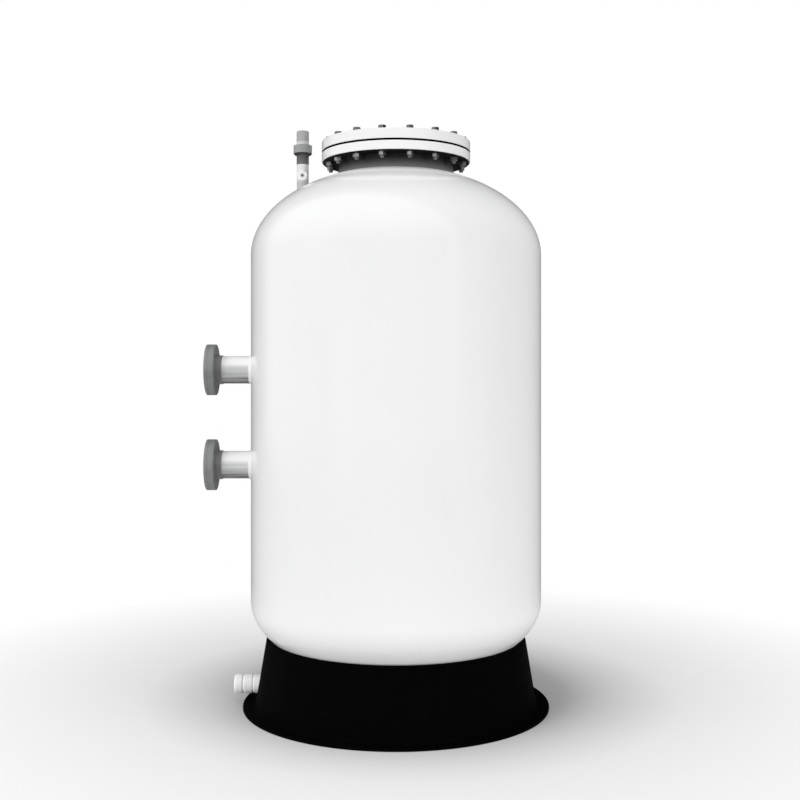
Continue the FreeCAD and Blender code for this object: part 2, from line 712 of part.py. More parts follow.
def header_end_cap():
    cap = turned([
        (0, CAP_DEPTH),
        (PIPE_RADIUS + BOND_GAP, CAP_DEPTH),
        (PIPE_RADIUS + BOND_GAP, 0),
        (ELBOW_RADIUS, 0),
        (ELBOW_RADIUS, CAP_DEPTH + CAP_WALL, CAP_WALL),
        (0, CAP_DEPTH + CAP_WALL),
    ])
    cap.rotate(V(0, 0, 0), V(0, 1, 0), 90)
    cap.translate(V(HEADER_END_X - CAP_DEPTH + BOND_GAP, 0, HEADER_Z))
    return cap


def saddle_xs():
    return [LATERAL_FIRST_X + place * LATERAL_PITCH for place in SADDLE_PLACES]


def saddle_block(x, grow):
    """Upright block from the floor to the header's middle, made larger all round by grow."""
    thick = SADDLE_THICKNESS + 2 * grow
    wide = SADDLE_WIDTH + 2 * grow
    high = HEADER_Z - PIPE_RADIUS + SADDLE_CRADLE + grow
    block = Part.makeBox(thick, wide, high)
    block.translate(V(x - thick / 2, -wide / 2, 0))
    return block


def header_saddles():
    """Blocks that stand on the dish and cradle the header."""
    room = vessel(TANK_WALL + BOND_GAP)
    start, end = pipe_runs()["collector_header"]
    cradle = straight(start, end, PIPE_RADIUS + BOND_GAP)
    return [saddle_block(x, 0).common(room).cut(cradle) for x in saddle_xs()]


def inner_piping_envelope():
    """Everything that the bed lies around, made larger by the bed's clearance."""
    pieces = []
    for corner, first, second in elbow_places().values():
        pieces.append(turn_to(bend(ELBOW_RADIUS + GRAIN_GAP), corner, first, second))
    for start, end in pipe_runs().values():
        pieces.append(straight(start, end, PIPE_RADIUS + GRAIN_GAP))
    nozzle = rod(NOZZLE_RADIUS + GRAIN_GAP, NOZZLE_INNER_S - GRAIN_GAP, TANK_RADIUS)
    spigot = rod(PIPE_RADIUS + GRAIN_GAP, -RISER_X, TANK_RADIUS)
    for height in (INLET_Z, OUTLET_Z):
        pieces.append(sideways(nozzle, height))
        pieces.append(sideways(spigot, height))
    for x, tip in lateral_places():
        reach = V(0, tip + GRAIN_GAP, 0)
        middle = V(x, 0, HEADER_Z)
        pieces.append(straight(middle - reach, middle + reach, LATERAL_RADIUS + GRAIN_GAP))
    for x in saddle_xs():
        pieces.append(saddle_block(x, GRAIN_GAP))
    cap_start = V(HEADER_END_X - CAP_DEPTH - GRAIN_GAP, 0, HEADER_Z)
    cap_end = V(HEADER_END_X + CAP_WALL + 2 * GRAIN_GAP, 0, HEADER_Z)
    pieces.append(straight(cap_start, cap_end, ELBOW_RADIUS + GRAIN_GAP))
    strainer_top = dish_z(0, TANK_WALL) + STRAINER_HEIGHT + GRAIN_GAP
    pieces.append(rod(STRAINER_RADIUS + GRAIN_GAP, 0, strainer_top))
    return pieces


def bed(low, high):
    slab = rod(TANK_RADIUS, low, high).common(vessel(TANK_WALL + GRAIN_GAP))
    return slab.cut(inner_piping_envelope())


def vent_body():
    """White fitting on the dome, with a stem through the wall and a boss for the bleed screw."""
    foot = rod(VENT_RADIUS, VENT_PAD_Z, VENT_TOP_Z)
    seat = V(0, -VENT_RADIUS - BLEED_BOSS_PROUD, BLEED_Z)
    boss = Part.makeCylinder(BLEED_BOSS_RADIUS, VENT_RADIUS, seat, V(0, 1, 0))
    body = at_vent(foot.fuse(boss)).cut(vessel(-BOND_GAP))
    stem = rod(VENT_STEM_RADIUS, VENT_PAD_Z - VENT_NUT_HEIGHT, VENT_TOP_Z)
    spigot = rod(VENT_SPIGOT_RADIUS, BLEED_Z, VENT_TOP_Z + VENT_SPIGOT_HEIGHT)
    body = body.fuse([at_vent(stem), at_vent(spigot)])
    bore = rod(VENT_BORE, 0, VALVE_TOP_Z)
    screw_hole = Part.makeCylinder(BLEED_STEM_RADIUS + RUNNING_GAP, VENT_RADIUS + BLEED_BOSS_PROUD,
                                   seat, V(0, 1, 0))
    return body.cut([at_vent(bore), at_vent(screw_hole)]).removeSplitter()


def vent_lock_nut():
    low = VENT_PAD_Z - VENT_NUT_HEIGHT
    nut = hexagon(2 * VENT_NUT_RADIUS * math.cos(math.pi / 6), low, VENT_PAD_Z)
    return at_vent(nut.cut(rod(VENT_STEM_RADIUS + RUNNING_GAP, low, VENT_PAD_Z)))


def facing_front(shape):
    """Turn a piece made along +Z so that it points to -Y from the bleed screw's seat."""
    copy = shape.copy()
    copy.rotate(V(0, 0, 0), V(1, 0, 0), 90)
    copy.translate(V(VENT_X, -VENT_RADIUS - BLEED_BOSS_PROUD, BLEED_Z))
    return copy


def bleed_screw():
    seal = 2 * BLEED_SEAL_RADIUS + RUNNING_GAP
    head_top = seal + BLEED_HEAD_HEIGHT
    stem = rod(BLEED_STEM_RADIUS, VENT_BORE - VENT_RADIUS, seal + BLEED_HEAD_HEIGHT / 2)
    head = turned([
        (0, seal),
        (BLEED_HEAD_RADIUS, seal),
        (BLEED_HEAD_RADIUS, head_top, BLEED_HEAD_ROUND),
        (0, head_top),
    ])
    slot = Part.makeBox(2 * BLEED_HEAD_RADIUS, BLEED_SLOT_WIDTH, BLEED_SLOT_DEPTH)
    slot.translate(V(-BLEED_HEAD_RADIUS, -BLEED_SLOT_WIDTH / 2, head_top - BLEED_SLOT_DEPTH))
    return facing_front(stem.fuse(head).cut(slot))


def o_ring(circle_radius, cord_radius, height):
    return Part.makeTorus(circle_radius, cord_radius, V(0, 0, height))


def bleed_screw_seal():
    circle = BLEED_STEM_RADIUS + BLEED_SEAL_RADIUS + RUNNING_GAP
    return facing_front(o_ring(circle, BLEED_SEAL_RADIUS, BLEED_SEAL_RADIUS))


def union_lower_half():
    """Grey sleeve on the vent body, with the union's thread and seal groove on its head."""
    shape = turned([
        (VENT_SPIGOT_RADIUS + BOND_GAP, VENT_TOP_Z),
        (UNION_RADIUS, VENT_TOP_Z),
        (UNION_RADIUS, THREAD_LOW_Z),
        (THREAD_RADIUS, THREAD_LOW_Z),
        (THREAD_RADIUS, THREAD_TOP_Z),
        (UNION_BORE, THREAD_TOP_Z),
        (UNION_BORE, VENT_TOP_Z + VENT_SPIGOT_HEIGHT + BOND_GAP),
        (VENT_SPIGOT_RADIUS + BOND_GAP, VENT_TOP_Z + VENT_SPIGOT_HEIGHT + BOND_GAP),
    ])
    groove = sleeve(UNION_SEAL_CIRCLE - UNION_SEAL_RADIUS - RUNNING_GAP,
                    UNION_SEAL_CIRCLE + UNION_SEAL_RADIUS + RUNNING_GAP,
                    THREAD_TOP_Z - 2 * UNION_SEAL_RADIUS, THREAD_TOP_Z)
    return at_vent(shape.cut(groove))


def union_seal():
    return at_vent(o_ring(UNION_SEAL_CIRCLE, UNION_SEAL_RADIUS, THREAD_TOP_Z - UNION_SEAL_RADIUS))


def union_nut():
    """Nut that holds the air valve's collar down on the seal, ribbed where it tapers at the foot."""
    lip_z = NUT_TOP_Z - NUT_LIP
    grip_z = NUT_BOTTOM_Z + NUT_GRIP_HEIGHT
    nut = turned([
        (THREAD_RADIUS + RUNNING_GAP, NUT_BOTTOM_Z),
        (NUT_RADIUS - NUT_GRIP_TAPER, NUT_BOTTOM_Z),
        (NUT_RADIUS, grip_z),
        (NUT_RADIUS, NUT_TOP_Z, NUT_ROUND),
        (VALVE_RADIUS + BOND_GAP, NUT_TOP_Z),
        (VALVE_RADIUS + BOND_GAP, lip_z),
        (THREAD_RADIUS + RUNNING_GAP, lip_z),
    ])
    groove = rod(NUT_RIB_GROOVE, NUT_BOTTOM_Z - NUT_ROUND, grip_z)
    groove.translate(V(NUT_RADIUS - NUT_GRIP_TAPER / 2, 0, 0))
    return at_vent(nut.cut(ring_of(groove, NUT_RIBS)))


def air_valve_body():
    """Collar under the nut, smooth ring above it and a threaded top with air grooves."""
    collar_top = COLLAR_LOW_Z + VALVE_COLLAR
    top = VALVE_SEAT_Z + VALVE_THREAD_HEIGHT
    body = turned([
        (VALVE_BORE, COLLAR_LOW_Z),
        (THREAD_RADIUS - BOND_GAP, COLLAR_LOW_Z),
        (THREAD_RADIUS - BOND_GAP, collar_top),
        (VALVE_RADIUS, collar_top),
        (VALVE_RADIUS, VALVE_SEAT_Z),
        (VALVE_THREAD_RADIUS, VALVE_SEAT_Z),
        (VALVE_THREAD_RADIUS, top),
        (VALVE_BORE, top),
    ])
    reach = FLOAT_RADIUS + AIR_GROOVE_WIDTH / 2
    grooves = []
    for angle in (0, 90):
        groove = Part.makeBox(2 * reach, AIR_GROOVE_WIDTH, AIR_GROOVE_DEPTH)
        groove.translate(V(-reach, -AIR_GROOVE_WIDTH / 2, top - AIR_GROOVE_DEPTH))
        groove.rotate(V(0, 0, 0), V(0, 0, 1), angle)
        grooves.append(groove)
    return at_vent(body.cut(grooves))


def air_valve_cap():
    """Fluted cap with a round top, the float's chamber and a small air hole."""
    low = VALVE_SEAT_Z
    chamber_top = VALVE_TOP_Z - VALVE_ROOF
    inner = VALVE_THREAD_RADIUS + RUNNING_GAP
    cap = turned([
        (inner, low),
        (VALVE_RADIUS, low),
        (VALVE_RADIUS, VALVE_TOP_Z, VALVE_TOP_ROUND),
        (VALVE_ORIFICE, VALVE_TOP_Z),
        (VALVE_ORIFICE, chamber_top),
        (inner, chamber_top),
    ])
    flute = rod(VALVE_FLUTE_RADIUS, low + VALVE_FLUTE_RADIUS, VALVE_TOP_Z - VALVE_TOP_ROUND)
    flute.translate(V(VALVE_RADIUS + VALVE_FLUTE_RADIUS - VALVE_FLUTE_DEPTH, 0, 0))
    return at_vent(cap.cut(ring_of(flute, VALVE_FLUTES)))


def air_valve_float():
    low = VALVE_SEAT_Z + VALVE_THREAD_HEIGHT + RUNNING_GAP
    high = VALVE_TOP_Z - VALVE_ROOF - FLOAT_TRAVEL - RUNNING_GAP
    return at_vent(turned([
        (0, low),
        (FLOAT_RADIUS, low, FLOAT_EDGE_ROUND),
        (FLOAT_RADIUS, high - FLOAT_CONE_HEIGHT),
        (VALVE_ORIFICE, high),
        (0, high),
    ]))


def drain_strainer():
    """Slotted mushroom on the dish, whose stem passes the boss into the elbow."""
    seat_z = dish_z(STRAINER_RADIUS, TANK_WALL) + BOND_GAP
    inner = STRAINER_STEM_RADIUS - STRAINER_STEM_WALL
    stem_end = DRAIN_BOSS_Z - STRAINER_STEM_INSERT
    stem = sleeve(inner, STRAINER_STEM_RADIUS, stem_end, seat_z + STRAINER_STEM_WALL)
    top = dish_z(0, TANK_WALL) + STRAINER_HEIGHT
    head = turned([
        (inner, seat_z),
        (STRAINER_RADIUS, seat_z),
        (STRAINER_RADIUS, top, STRAINER_ROUND),
        (0, top),
        (0, top - STRAINER_STEM_WALL),
        (STRAINER_RADIUS - STRAINER_STEM_WALL, top - STRAINER_STEM_WALL, STRAINER_ROUND - STRAINER_STEM_WALL),
        (STRAINER_RADIUS - STRAINER_STEM_WALL, seat_z + STRAINER_STEM_WALL),
        (inner, seat_z + STRAINER_STEM_WALL),
    ])
    slot = Part.makeBox(STRAINER_RADIUS, STRAINER_SLOT_WIDTH, STRAINER_SLOT_HEIGHT)
    slot.translate(V(STRAINER_STEM_RADIUS, -STRAINER_SLOT_WIDTH / 2, seat_z + 2 * STRAINER_STEM_WALL))
    return head.cut(ring_of(slot, STRAINER_SLOTS)).fuse(stem).removeSplitter()


def drain_elbow():
    """Compact square elbow under the dish, from the boss to the drain pipe."""
    corner = V(0, 0, DRAIN_Z)
    up, out = V(0, 0, 1), V(-1, 0, 0)
    outer = Part.makeCylinder(DRAIN_ELBOW_RADIUS, DRAIN_ELBOW_RISE, corner, up).fuse([
        Part.makeCylinder(DRAIN_ELBOW_RADIUS, DRAIN_ELBOW_LEG, corner, out),
        Part.makeSphere(DRAIN_ELBOW_RADIUS, corner),
    ])
    socket_end = DRAIN_BOSS_Z - STRAINER_STEM_INSERT - BOND_GAP
    stem_socket = rod(STRAINER_STEM_RADIUS + BOND_GAP, socket_end, DRAIN_BOSS_Z)
    bore = STRAINER_STEM_RADIUS - STRAINER_STEM_WALL
    pipe_socket = rod(DRAIN_PIPE_RADIUS + BOND_GAP, DRAIN_ELBOW_LEG - DRAIN_SOCKET_DEPTH, DRAIN_ELBOW_LEG)
    return outer.cut([
        stem_socket,
        Part.makeCylinder(bore, DRAIN_ELBOW_RISE, corner, up),
        Part.makeCylinder(bore, DRAIN_ELBOW_LEG, corner, out),
        Part.makeSphere(bore, corner),
        sideways(pipe_socket, DRAIN_Z),
    ]).removeSplitter()


def drain_pipe():
    low = DRAIN_ELBOW_LEG - DRAIN_SOCKET_DEPTH + BOND_GAP
    high = DRAIN_BACK_S + DRAIN_SOCKET_DEPTH - BOND_GAP
    return sideways(sleeve(DRAIN_BORE, DRAIN_PIPE_RADIUS, low, high), DRAIN_Z)


def drain_body():
    """White fitting in the skirt with two rings outside and a thread for the cap."""
    inside_skirt = DRAIN_FACE_S - 2 * SKIRT_WALL
    spigot_end = DRAIN_CAP_END_S - DRAIN_CAP_FRONT - DRAIN_SEAL_THICKNESS - RUNNING_GAP
    socket_end = DRAIN_BACK_S + DRAIN_SOCKET_DEPTH
    rings = turned([
        (DRAIN_GROOVE_RADIUS - SKIRT_WALL, inside_skirt),
        (DRAIN_RADIUS, inside_skirt),
        (DRAIN_RADIUS, DRAIN_FIRST_RING_END_S, DRAIN_EDGE_ROUND),
        (DRAIN_GROOVE_RADIUS, DRAIN_FIRST_RING_END_S),
        (DRAIN_GROOVE_RADIUS, DRAIN_SECOND_RING_S),
        (DRAIN_RADIUS, DRAIN_SECOND_RING_S, DRAIN_EDGE_ROUND),
        (DRAIN_RADIUS, DRAIN_SECOND_RING_END_S, DRAIN_EDGE_ROUND),
        (DRAIN_GROOVE_RADIUS, DRAIN_SECOND_RING_END_S),
        (DRAIN_GROOVE_RADIUS, DRAIN_CAP_S - BOND_GAP),
        (DRAIN_GROOVE_RADIUS - SKIRT_WALL, DRAIN_CAP_S - BOND_GAP),
    ])
    outside = sideways(rings, DRAIN_Z).cut(skirt_cone(BOND_GAP))
    back = sideways(rod(DRAIN_BACK_RADIUS, DRAIN_BACK_S, DRAIN_FIRST_RING_END_S), DRAIN_Z)
    spigot = sideways(rod(DRAIN_THREAD_RADIUS, DRAIN_SECOND_RING_S, spigot_end), DRAIN_Z)
    bore = sideways(rod(DRAIN_BORE, DRAIN_BACK_S, spigot_end), DRAIN_Z)
    socket = sideways(rod(DRAIN_PIPE_RADIUS + BOND_GAP, DRAIN_BACK_S, socket_end), DRAIN_Z)
    return outside.fuse([back, spigot]).cut([bore, socket]).removeSplitter()


def drain_lock_ring():
    """Ring screwed on behind the skirt, its face cut to the skirt's inside."""
    low = skirt_radius(DRAIN_Z + DRAIN_LOCK_RADIUS) - SKIRT_WALL - DRAIN_LOCK_THICKNESS
    ring = sleeve(DRAIN_BACK_RADIUS + RUNNING_GAP, DRAIN_LOCK_RADIUS, low, skirt_radius(0))
    return sideways(ring, DRAIN_Z).common(skirt_cone(-SKIRT_WALL - BOND_GAP))


def drain_cap():
    inner_face = DRAIN_CAP_END_S - DRAIN_CAP_FRONT
    cap = turned([
        (0, inner_face),
        (DRAIN_THREAD_RADIUS + RUNNING_GAP, inner_face),
        (DRAIN_THREAD_RADIUS + RUNNING_GAP, DRAIN_CAP_S),
        (DRAIN_RADIUS, DRAIN_CAP_S, DRAIN_EDGE_ROUND),
        (DRAIN_RADIUS, DRAIN_CAP_END_S, DRAIN_CAP_ROUND),
        (0, DRAIN_CAP_END_S),
    ])
    return sideways(cap, DRAIN_Z)


def drain_cap_seal():
    high = DRAIN_CAP_END_S - DRAIN_CAP_FRONT
    disc = rod(DRAIN_THREAD_RADIUS - BOND_GAP, high - DRAIN_SEAL_THICKNESS, high)
    return sideways(disc, DRAIN_Z)


def build():
    bolts, washers, nuts = manhole_fasteners()
    shapes = {
        "base_skirt": base_skirt(),
        "tank_wall": tank_wall(),
        "tank_dome": tank_dome(),
        "tank_dish": tank_dish(),
        "manhole_neck": manhole_neck(),
        "manhole_flange": manhole_flange(),
        "flange_backing_ring": flange_backing_ring(),
        "manhole_gasket": manhole_gasket(),
        "manhole_cover": manhole_cover(),
        "manhole_bolts": bolts,
        "manhole_washers": washers,
        "manhole_nuts": nuts,
        "top_diffuser": top_diffuser(),
        "collector_header": collector_header(),
        "header_end_cap": header_end_cap(),
        "collector_laterals": collector_laterals(),
        "header_saddles": header_saddles(),
        "gravel_bed": bed(DISH_START_Z - DISH_DROP, GRAVEL_TOP_Z),
        "sand_bed": bed(GRAVEL_TOP_Z, SAND_TOP_Z),
        "vent_body": vent_body(),
        "vent_lock_nut": vent_lock_nut(),
        "bleed_screw": bleed_screw(),
        "bleed_screw_seal": bleed_screw_seal(),
        "union_lower_half": union_lower_half(),
        "union_seal": union_seal(),
        "union_nut": union_nut(),
        "air_valve_body": air_valve_body(),
        "air_valve_cap": air_valve_cap(),
        "air_valve_float": air_valve_float(),
        "drain_strainer": drain_strainer(),
        "drain_elbow": drain_elbow(),
        "drain_pipe": drain_pipe(),
        "drain_body": drain_body(),
        "drain_lock_ring": drain_lock_ring(),
        "drain_cap": drain_cap(),
        "drain_cap_seal": drain_cap_seal(),
    }
    for name, height in (("inlet", INLET_Z), ("outlet", OUTLET_Z)):
        shapes[name + "_nozzle"] = side_nozzle(height)
        shapes[name + "_stub"] = side_stub(height)
        shapes[name + "_flange_ring"] = side_ring(height)
    for name, (corner, first, second) in elbow_places().items():
        shapes[name] = elbow(corner, first, second)
    for name, (start, end) in pipe_runs().items():
        if name not in shapes:
            shapes[name] = pipe(start, end)
    return shapes


os.makedirs("parts", exist_ok=True)
for node, shape in build().items():
    if isinstance(shape, list):
        shape = Part.makeCompound(shape)
    shape.exportStep("parts/" + node + ".step")
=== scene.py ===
import json
import math

import bpy
import numpy as np
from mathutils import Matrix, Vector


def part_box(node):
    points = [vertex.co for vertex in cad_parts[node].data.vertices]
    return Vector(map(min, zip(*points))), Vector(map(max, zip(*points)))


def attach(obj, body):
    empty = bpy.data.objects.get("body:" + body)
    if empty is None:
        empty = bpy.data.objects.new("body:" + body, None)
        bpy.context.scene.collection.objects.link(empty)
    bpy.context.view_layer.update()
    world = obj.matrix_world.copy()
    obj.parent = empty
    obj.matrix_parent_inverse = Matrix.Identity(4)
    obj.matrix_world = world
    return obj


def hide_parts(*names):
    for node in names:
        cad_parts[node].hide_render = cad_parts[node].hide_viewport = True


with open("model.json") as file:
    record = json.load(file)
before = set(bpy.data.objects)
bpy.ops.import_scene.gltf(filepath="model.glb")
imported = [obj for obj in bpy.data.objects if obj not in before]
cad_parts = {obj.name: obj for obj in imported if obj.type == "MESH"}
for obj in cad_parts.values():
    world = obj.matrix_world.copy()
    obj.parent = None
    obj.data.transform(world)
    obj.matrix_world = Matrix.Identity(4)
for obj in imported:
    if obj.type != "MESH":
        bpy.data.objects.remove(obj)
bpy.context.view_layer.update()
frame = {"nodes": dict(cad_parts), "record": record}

# Camera
# It stands level in front of the filter at a little over half its height, with a normal lens. The small
# shifts are the photograph's framing.
camera_distance, camera_height = 4.162, 1.1849
camera_lens = bpy.data.cameras.new("front_camera")
camera_lens.sensor_width = 36.0
camera_lens.lens = 51.35
camera_lens.shift_x = 0.005
camera_lens.shift_y = -0.0281
camera = bpy.data.objects.new("front_camera", camera_lens)
camera.location = (0.0, -camera_distance, camera_height)
camera.rotation_euler = (math.radians(90), 0.0, 0.0)
bpy.context.scene.collection.objects.link(camera)
bpy.context.scene.camera = camera


# Tank
# Wound glass fibre vessel with an elliptical dome and dish, finished outside in glossy white gelcoat. It is
# bored for the side pipes and the vent, and thickened by hand in a small flare round each pipe.
MM = 0.001


class Strand:
    """A socket in a node tree. Sums written with it add Math nodes to that tree."""

    def __init__(self, tree, socket):
        self.tree = tree
        self.socket = socket

    def maths(self, operation, first, second=None):
        node = self.tree.nodes.new("ShaderNodeMath")
        node.operation = operation
        for place, value in zip(node.inputs, (first, second)):
            if isinstance(value, Strand):
                self.tree.links.new(value.socket, place)
            elif value is not None:
                place.default_value = value
        return Strand(self.tree, node.outputs[0])

    def __add__(self, other):
        return self.maths("ADD", self, other)

    def __radd__(self, other):
        return self.maths("ADD", other, self)

    def __sub__(self, other):
        return self.maths("SUBTRACT", self, other)

    def __rsub__(self, other):
        return self.maths("SUBTRACT", other, self)

    def __mul__(self, other):
        return self.maths("MULTIPLY", self, other)

    def __rmul__(self, other):
        return self.maths("MULTIPLY", other, self)

    def __truediv__(self, other):
        return self.maths("DIVIDE", self, other)

    def power(self, exponent):
        return self.maths("POWER", self, exponent)

    def sine(self):
        return self.maths("SINE", self)

    def cosine(self):
        return self.maths("COSINE", self)

    def arcsine(self):
        return self.maths("ARCSINE", self)

    def at_least(self, floor):
        return self.maths("MAXIMUM", self, floor)

    def at_most(self, roof):
        return self.maths("MINIMUM", self, roof)

    def held(self, low=0.0, high=1.0):
        return self.at_least(low).at_most(high)


class Bench:
    """Adds nodes to one tree: the settings are set first, then the values or links of the sockets."""

    def __init__(self, tree):
        self.tree = tree

    def add(self, kind, settings=None, sockets=None, out=0):
        node = self.tree.nodes.new(kind)
        for name, value in (settings or {}).items():
            setattr(node, name, value)
        for name, value in (sockets or {}).items():
            self.feed(node, name, value)
        return node if out is None else Strand(self.tree, node.outputs[out])

    def feed(self, node, name, value):
        place = node.inputs[name]
        if isinstance(value, Strand):
            self.tree.links.new(value.socket, place)
        else:
            place.default_value = value


def form_tree(name, sizes):
    """New Geometry Nodes tree with a number input for each named size and a material input."""
    tree = bpy.data.node_groups.new(name, "GeometryNodeTree")
    tree.interface.new_socket("Geometry", in_out="INPUT", socket_type="NodeSocketGeometry")
    for size in sizes:
        kind = "NodeSocketInt" if size in ("Count", "Around", "Along", "Seed") else "NodeSocketFloat"
        tree.interface.new_socket(size, in_out="INPUT", socket_type=kind)
    tree.interface.new_socket("Material", in_out="INPUT", socket_type="NodeSocketMaterial")
    tree.interface.new_socket("Geometry", in_out="OUTPUT", socket_type="NodeSocketGeometry")
    bench = Bench(tree)
    entry = bench.add("NodeGroupInput", out=None)
    given = {socket.name: Strand(tree, socket) for socket in entry.outputs if socket.name}
    return bench, given


def close_tree(bench, given, geometry):
    """The result is made real, gets its material and leaves the tree."""
    real = bench.add("GeometryNodeRealizeInstances", sockets={"Geometry": geometry})
    finished = bench.add("GeometryNodeSetMaterial", sockets={"Geometry": real, "Material": given["Material"]})
    bench.add("NodeGroupOutput", sockets={"Geometry": finished}, out=None)


def form(piece, tree, values):
    """Put a Geometry Nodes tree on a piece and set its named inputs."""
    modifier = piece.modifiers.new(tree.name, "NODES")
    modifier.node_group = tree
    for item in tree.interface.items_tree:
        if item.in_out == "INPUT" and item.name in values:
            modifier[item.identifier] = values[item.name]


def set_hard(piece):
    """Turn a piece's live modifiers into plain mesh, with smooth faces and crisp corners."""
    graph = bpy.context.evaluated_depsgraph_get()
    mesh = bpy.data.meshes.new_from_object(piece.evaluated_get(graph))
    piece.modifiers.clear()
    piece.data = mesh
    mesh.name = piece.name
    finish = [material for material in mesh.materials if material is not None][0]
    mesh.materials.clear()
    mesh.materials.append(finish)
    mesh.polygons.foreach_set("material_index", [0] * len(mesh.polygons))
    soften(mesh)


def soften(mesh, crease=32.0):
    """Shade a mesh smooth, with its corners over so many degrees left crisp."""
    mesh.shade_smooth()
    mesh.set_sharp_from_angle(angle=math.radians(crease))


def round_steps(around):
    """Cosine and sine at even steps once round a circle."""
    angles = [2 * math.pi * index / around for index in range(around)]
    return [(math.cos(angle), math.sin(angle)) for angle in angles]


def closed_rows(row_count, around):
    """Faces between rows of vertices that each go once round, with the first and the last row closed."""
    faces = []
    for row in range(row_count - 1):
        for index in range(around):
            a, b = row * around + index, row * around + (index + 1) % around
            faces.append((a, b, b + around, a + around))
    top = (row_count - 1) * around
    return faces + [tuple(reversed(range(around))), tuple(range(top, top + around))]


def rod(name, radius, start, end, around=64):
    """Plain rod between two points, that a hole is cut with."""
    start, end = np.array(start, float), np.array(end, float)
    along = (end - start) / np.linalg.norm(end - start)
    side = np.cross(along, (0, 1, 0))
    up = np.cross(along, side)
    vertices = [middle + radius * (cosine * side + sine * up)
                for middle in (start, end) for cosine, sine in round_steps(around)]
    return laid_up(name, vertices, closed_rows(2, around))


def bored(piece, *rods):
    """Cut rods out of a piece and make what is left plain mesh."""
    for drill in rods:
        cut = piece.modifiers.new(drill.name, "BOOLEAN")
        cut.operation = "DIFFERENCE"
        cut.solver = "EXACT"
        cut.object = drill
    set_hard(piece)
    for drill in rods:
        bpy.data.objects.remove(drill)


def laid_up(name, vertices, faces, material=None):
    """New piece from vertices, in the filter's own frame, and faces."""
    mesh = bpy.data.meshes.new(name)
    mesh.from_pydata([tuple(v) for v in vertices], [], faces)
    mesh.validate()
    piece = bpy.data.objects.new(name, mesh)
    bpy.context.scene.collection.objects.link(piece)
    if material is not None:
        mesh.materials.append(material)
    soften(mesh)
    return piece


def finish_of(name, **constants):
    """New material on one Principled shader, its constant values set on the sockets."""
    material = bpy.data.materials.new(name)
    material.use_nodes = True
    bench = Bench(material.node_tree)
    bench.tree.nodes.clear()
    shader = bench.add("ShaderNodeBsdfPrincipled", out=None)
    for socket, value in constants.items():
        shader.inputs[socket.replace("_", " ")].default_value = value
    surface = Strand(bench.tree, shader.outputs[0])
    bench.add("ShaderNodeOutputMaterial", sockets={"Surface": surface}, out=None)
    place = bench.add("ShaderNodeTexCoord", out="Object")
    return material, bench, shader, place


def grey(level):
    return (level, level, level, 1)


def grain(bench, place, scale, detail=2.0):
    """Soft noise from 0 to 1, with so many cells to the metre."""
    return bench.add("ShaderNodeTexNoise", sockets={
        "Vector": place, "Scale": scale, "Detail": detail}, out="Fac")


def tint(bench, share, dark, light):
    """Colour between two others by a share from 0 to 1."""
    return bench.add("ShaderNodeMix", {"data_type": "RGBA"}, {0: share, 6: dark, 7: light}, out=2)


def relief(bench, shader, heights):
    """Stack bumps on a shader. Each is a height from 0 to 1 and what it measures in metres."""
    normal = None
    for height, depth in heights:
        sockets = {"Height": height, "Distance": depth}
        if normal is not None:
            sockets["Normal"] = normal
        normal = bench.add("ShaderNodeBump", sockets=sockets)
    bench.feed(shader, "Normal", normal)


def parts_of(bench, vector):
    """The X, Y and Z of a vector, as values."""
    split = bench.add("ShaderNodeSeparateXYZ", sockets={"Vector": vector}, out=None)
    return [Strand(bench.tree, socket) for socket in split.outputs]


def height_of(bench, place):
    return parts_of(bench, place)[2]


def gelcoat(name, dark, light, rubbed_low, rubbed_high):
    """Glossy resin with orange peel, slight waves and soft clouding, rubbed dull between two heights."""
    fade_in, fade_out = 20 * MM, 5 * MM
    material, bench, shader, place = finish_of(name, Specular_IOR_Level=0.5)
    clouds = grain(bench, place, 2.3, 3.0)
    bench.feed(shader, "Base Color", tint(bench, clouds, dark, light))
    height = height_of(bench, place)
    rubbed = (((height - rubbed_low) / fade_in).held()
              * ((rubbed_high - height) / fade_out).held())
    bench.feed(shader, "Roughness", 0.11 + 0.08 * grain(bench, place, 9.0, 4.0) + 0.45 * rubbed)
    relief(bench, shader, [
        (grain(bench, place, 4.5, 1.0), 0.0011),
        (grain(bench, place, 320.0, 1.0), 0.00006),
    ])
    return material


neck_low, neck_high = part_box("manhole_neck")
rubbed_reach = 25 * MM
white_gelcoat = gelcoat("white_gelcoat", (0.87, 0.872, 0.875, 1), grey(0.9),
                        neck_low.z - rubbed_reach, neck_low.z + rubbed_reach)

wall_low, wall_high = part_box("tank_wall")
dish_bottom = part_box("tank_dish")[0].z
tank_radius = wall_high.x
laminate = 10 * MM
dome_rise = 320 * MM
dish_drop = 268 * MM
neck_opening = 210.3 * MM
drain_opening = 19.3 * MM
end_share = 0.45        # of the rows in each rounded end, the rest are the straight wall's

bench, given = form_tree("vessel_skin", [
    "Around", "Along", "Radius", "Dome seam", "Dome rise", "Dish seam", "Dish drop", "Neck", "Drain"])
grid = bench.add("GeometryNodeMeshGrid", sockets={
    "Size X": 1.0, "Size Y": 1.0, "Vertices X": given["Around"], "Vertices Y": given["Along"]}, out=None)
flat = parts_of(bench, bench.add("GeometryNodeInputPosition"))
turn = flat[0] * (2 * math.pi)
along = flat[1] + 0.5
quarter = math.pi / 2
neck_angle = (given["Neck"] / given["Radius"]).arcsine()
drain_angle = (given["Drain"] / given["Radius"]).arcsine()
dome_angle = neck_angle + (along / end_share).held() * (quarter - neck_angle)
dish_share = ((along - (1 - end_share)) / end_share).held()
dish_angle = quarter - dish_share * (quarter - drain_angle)
wall_share = ((along - end_share) / (1 - 2 * end_share)).held()
radius = given["Radius"] * dome_angle.sine() * dish_angle.sine()
height = (given["Dome seam"] * (1 - wall_share) + given["Dish seam"] * wall_share
          + given["Dome rise"] * dome_angle.cosine() - given["Dish drop"] * dish_angle.cosine())
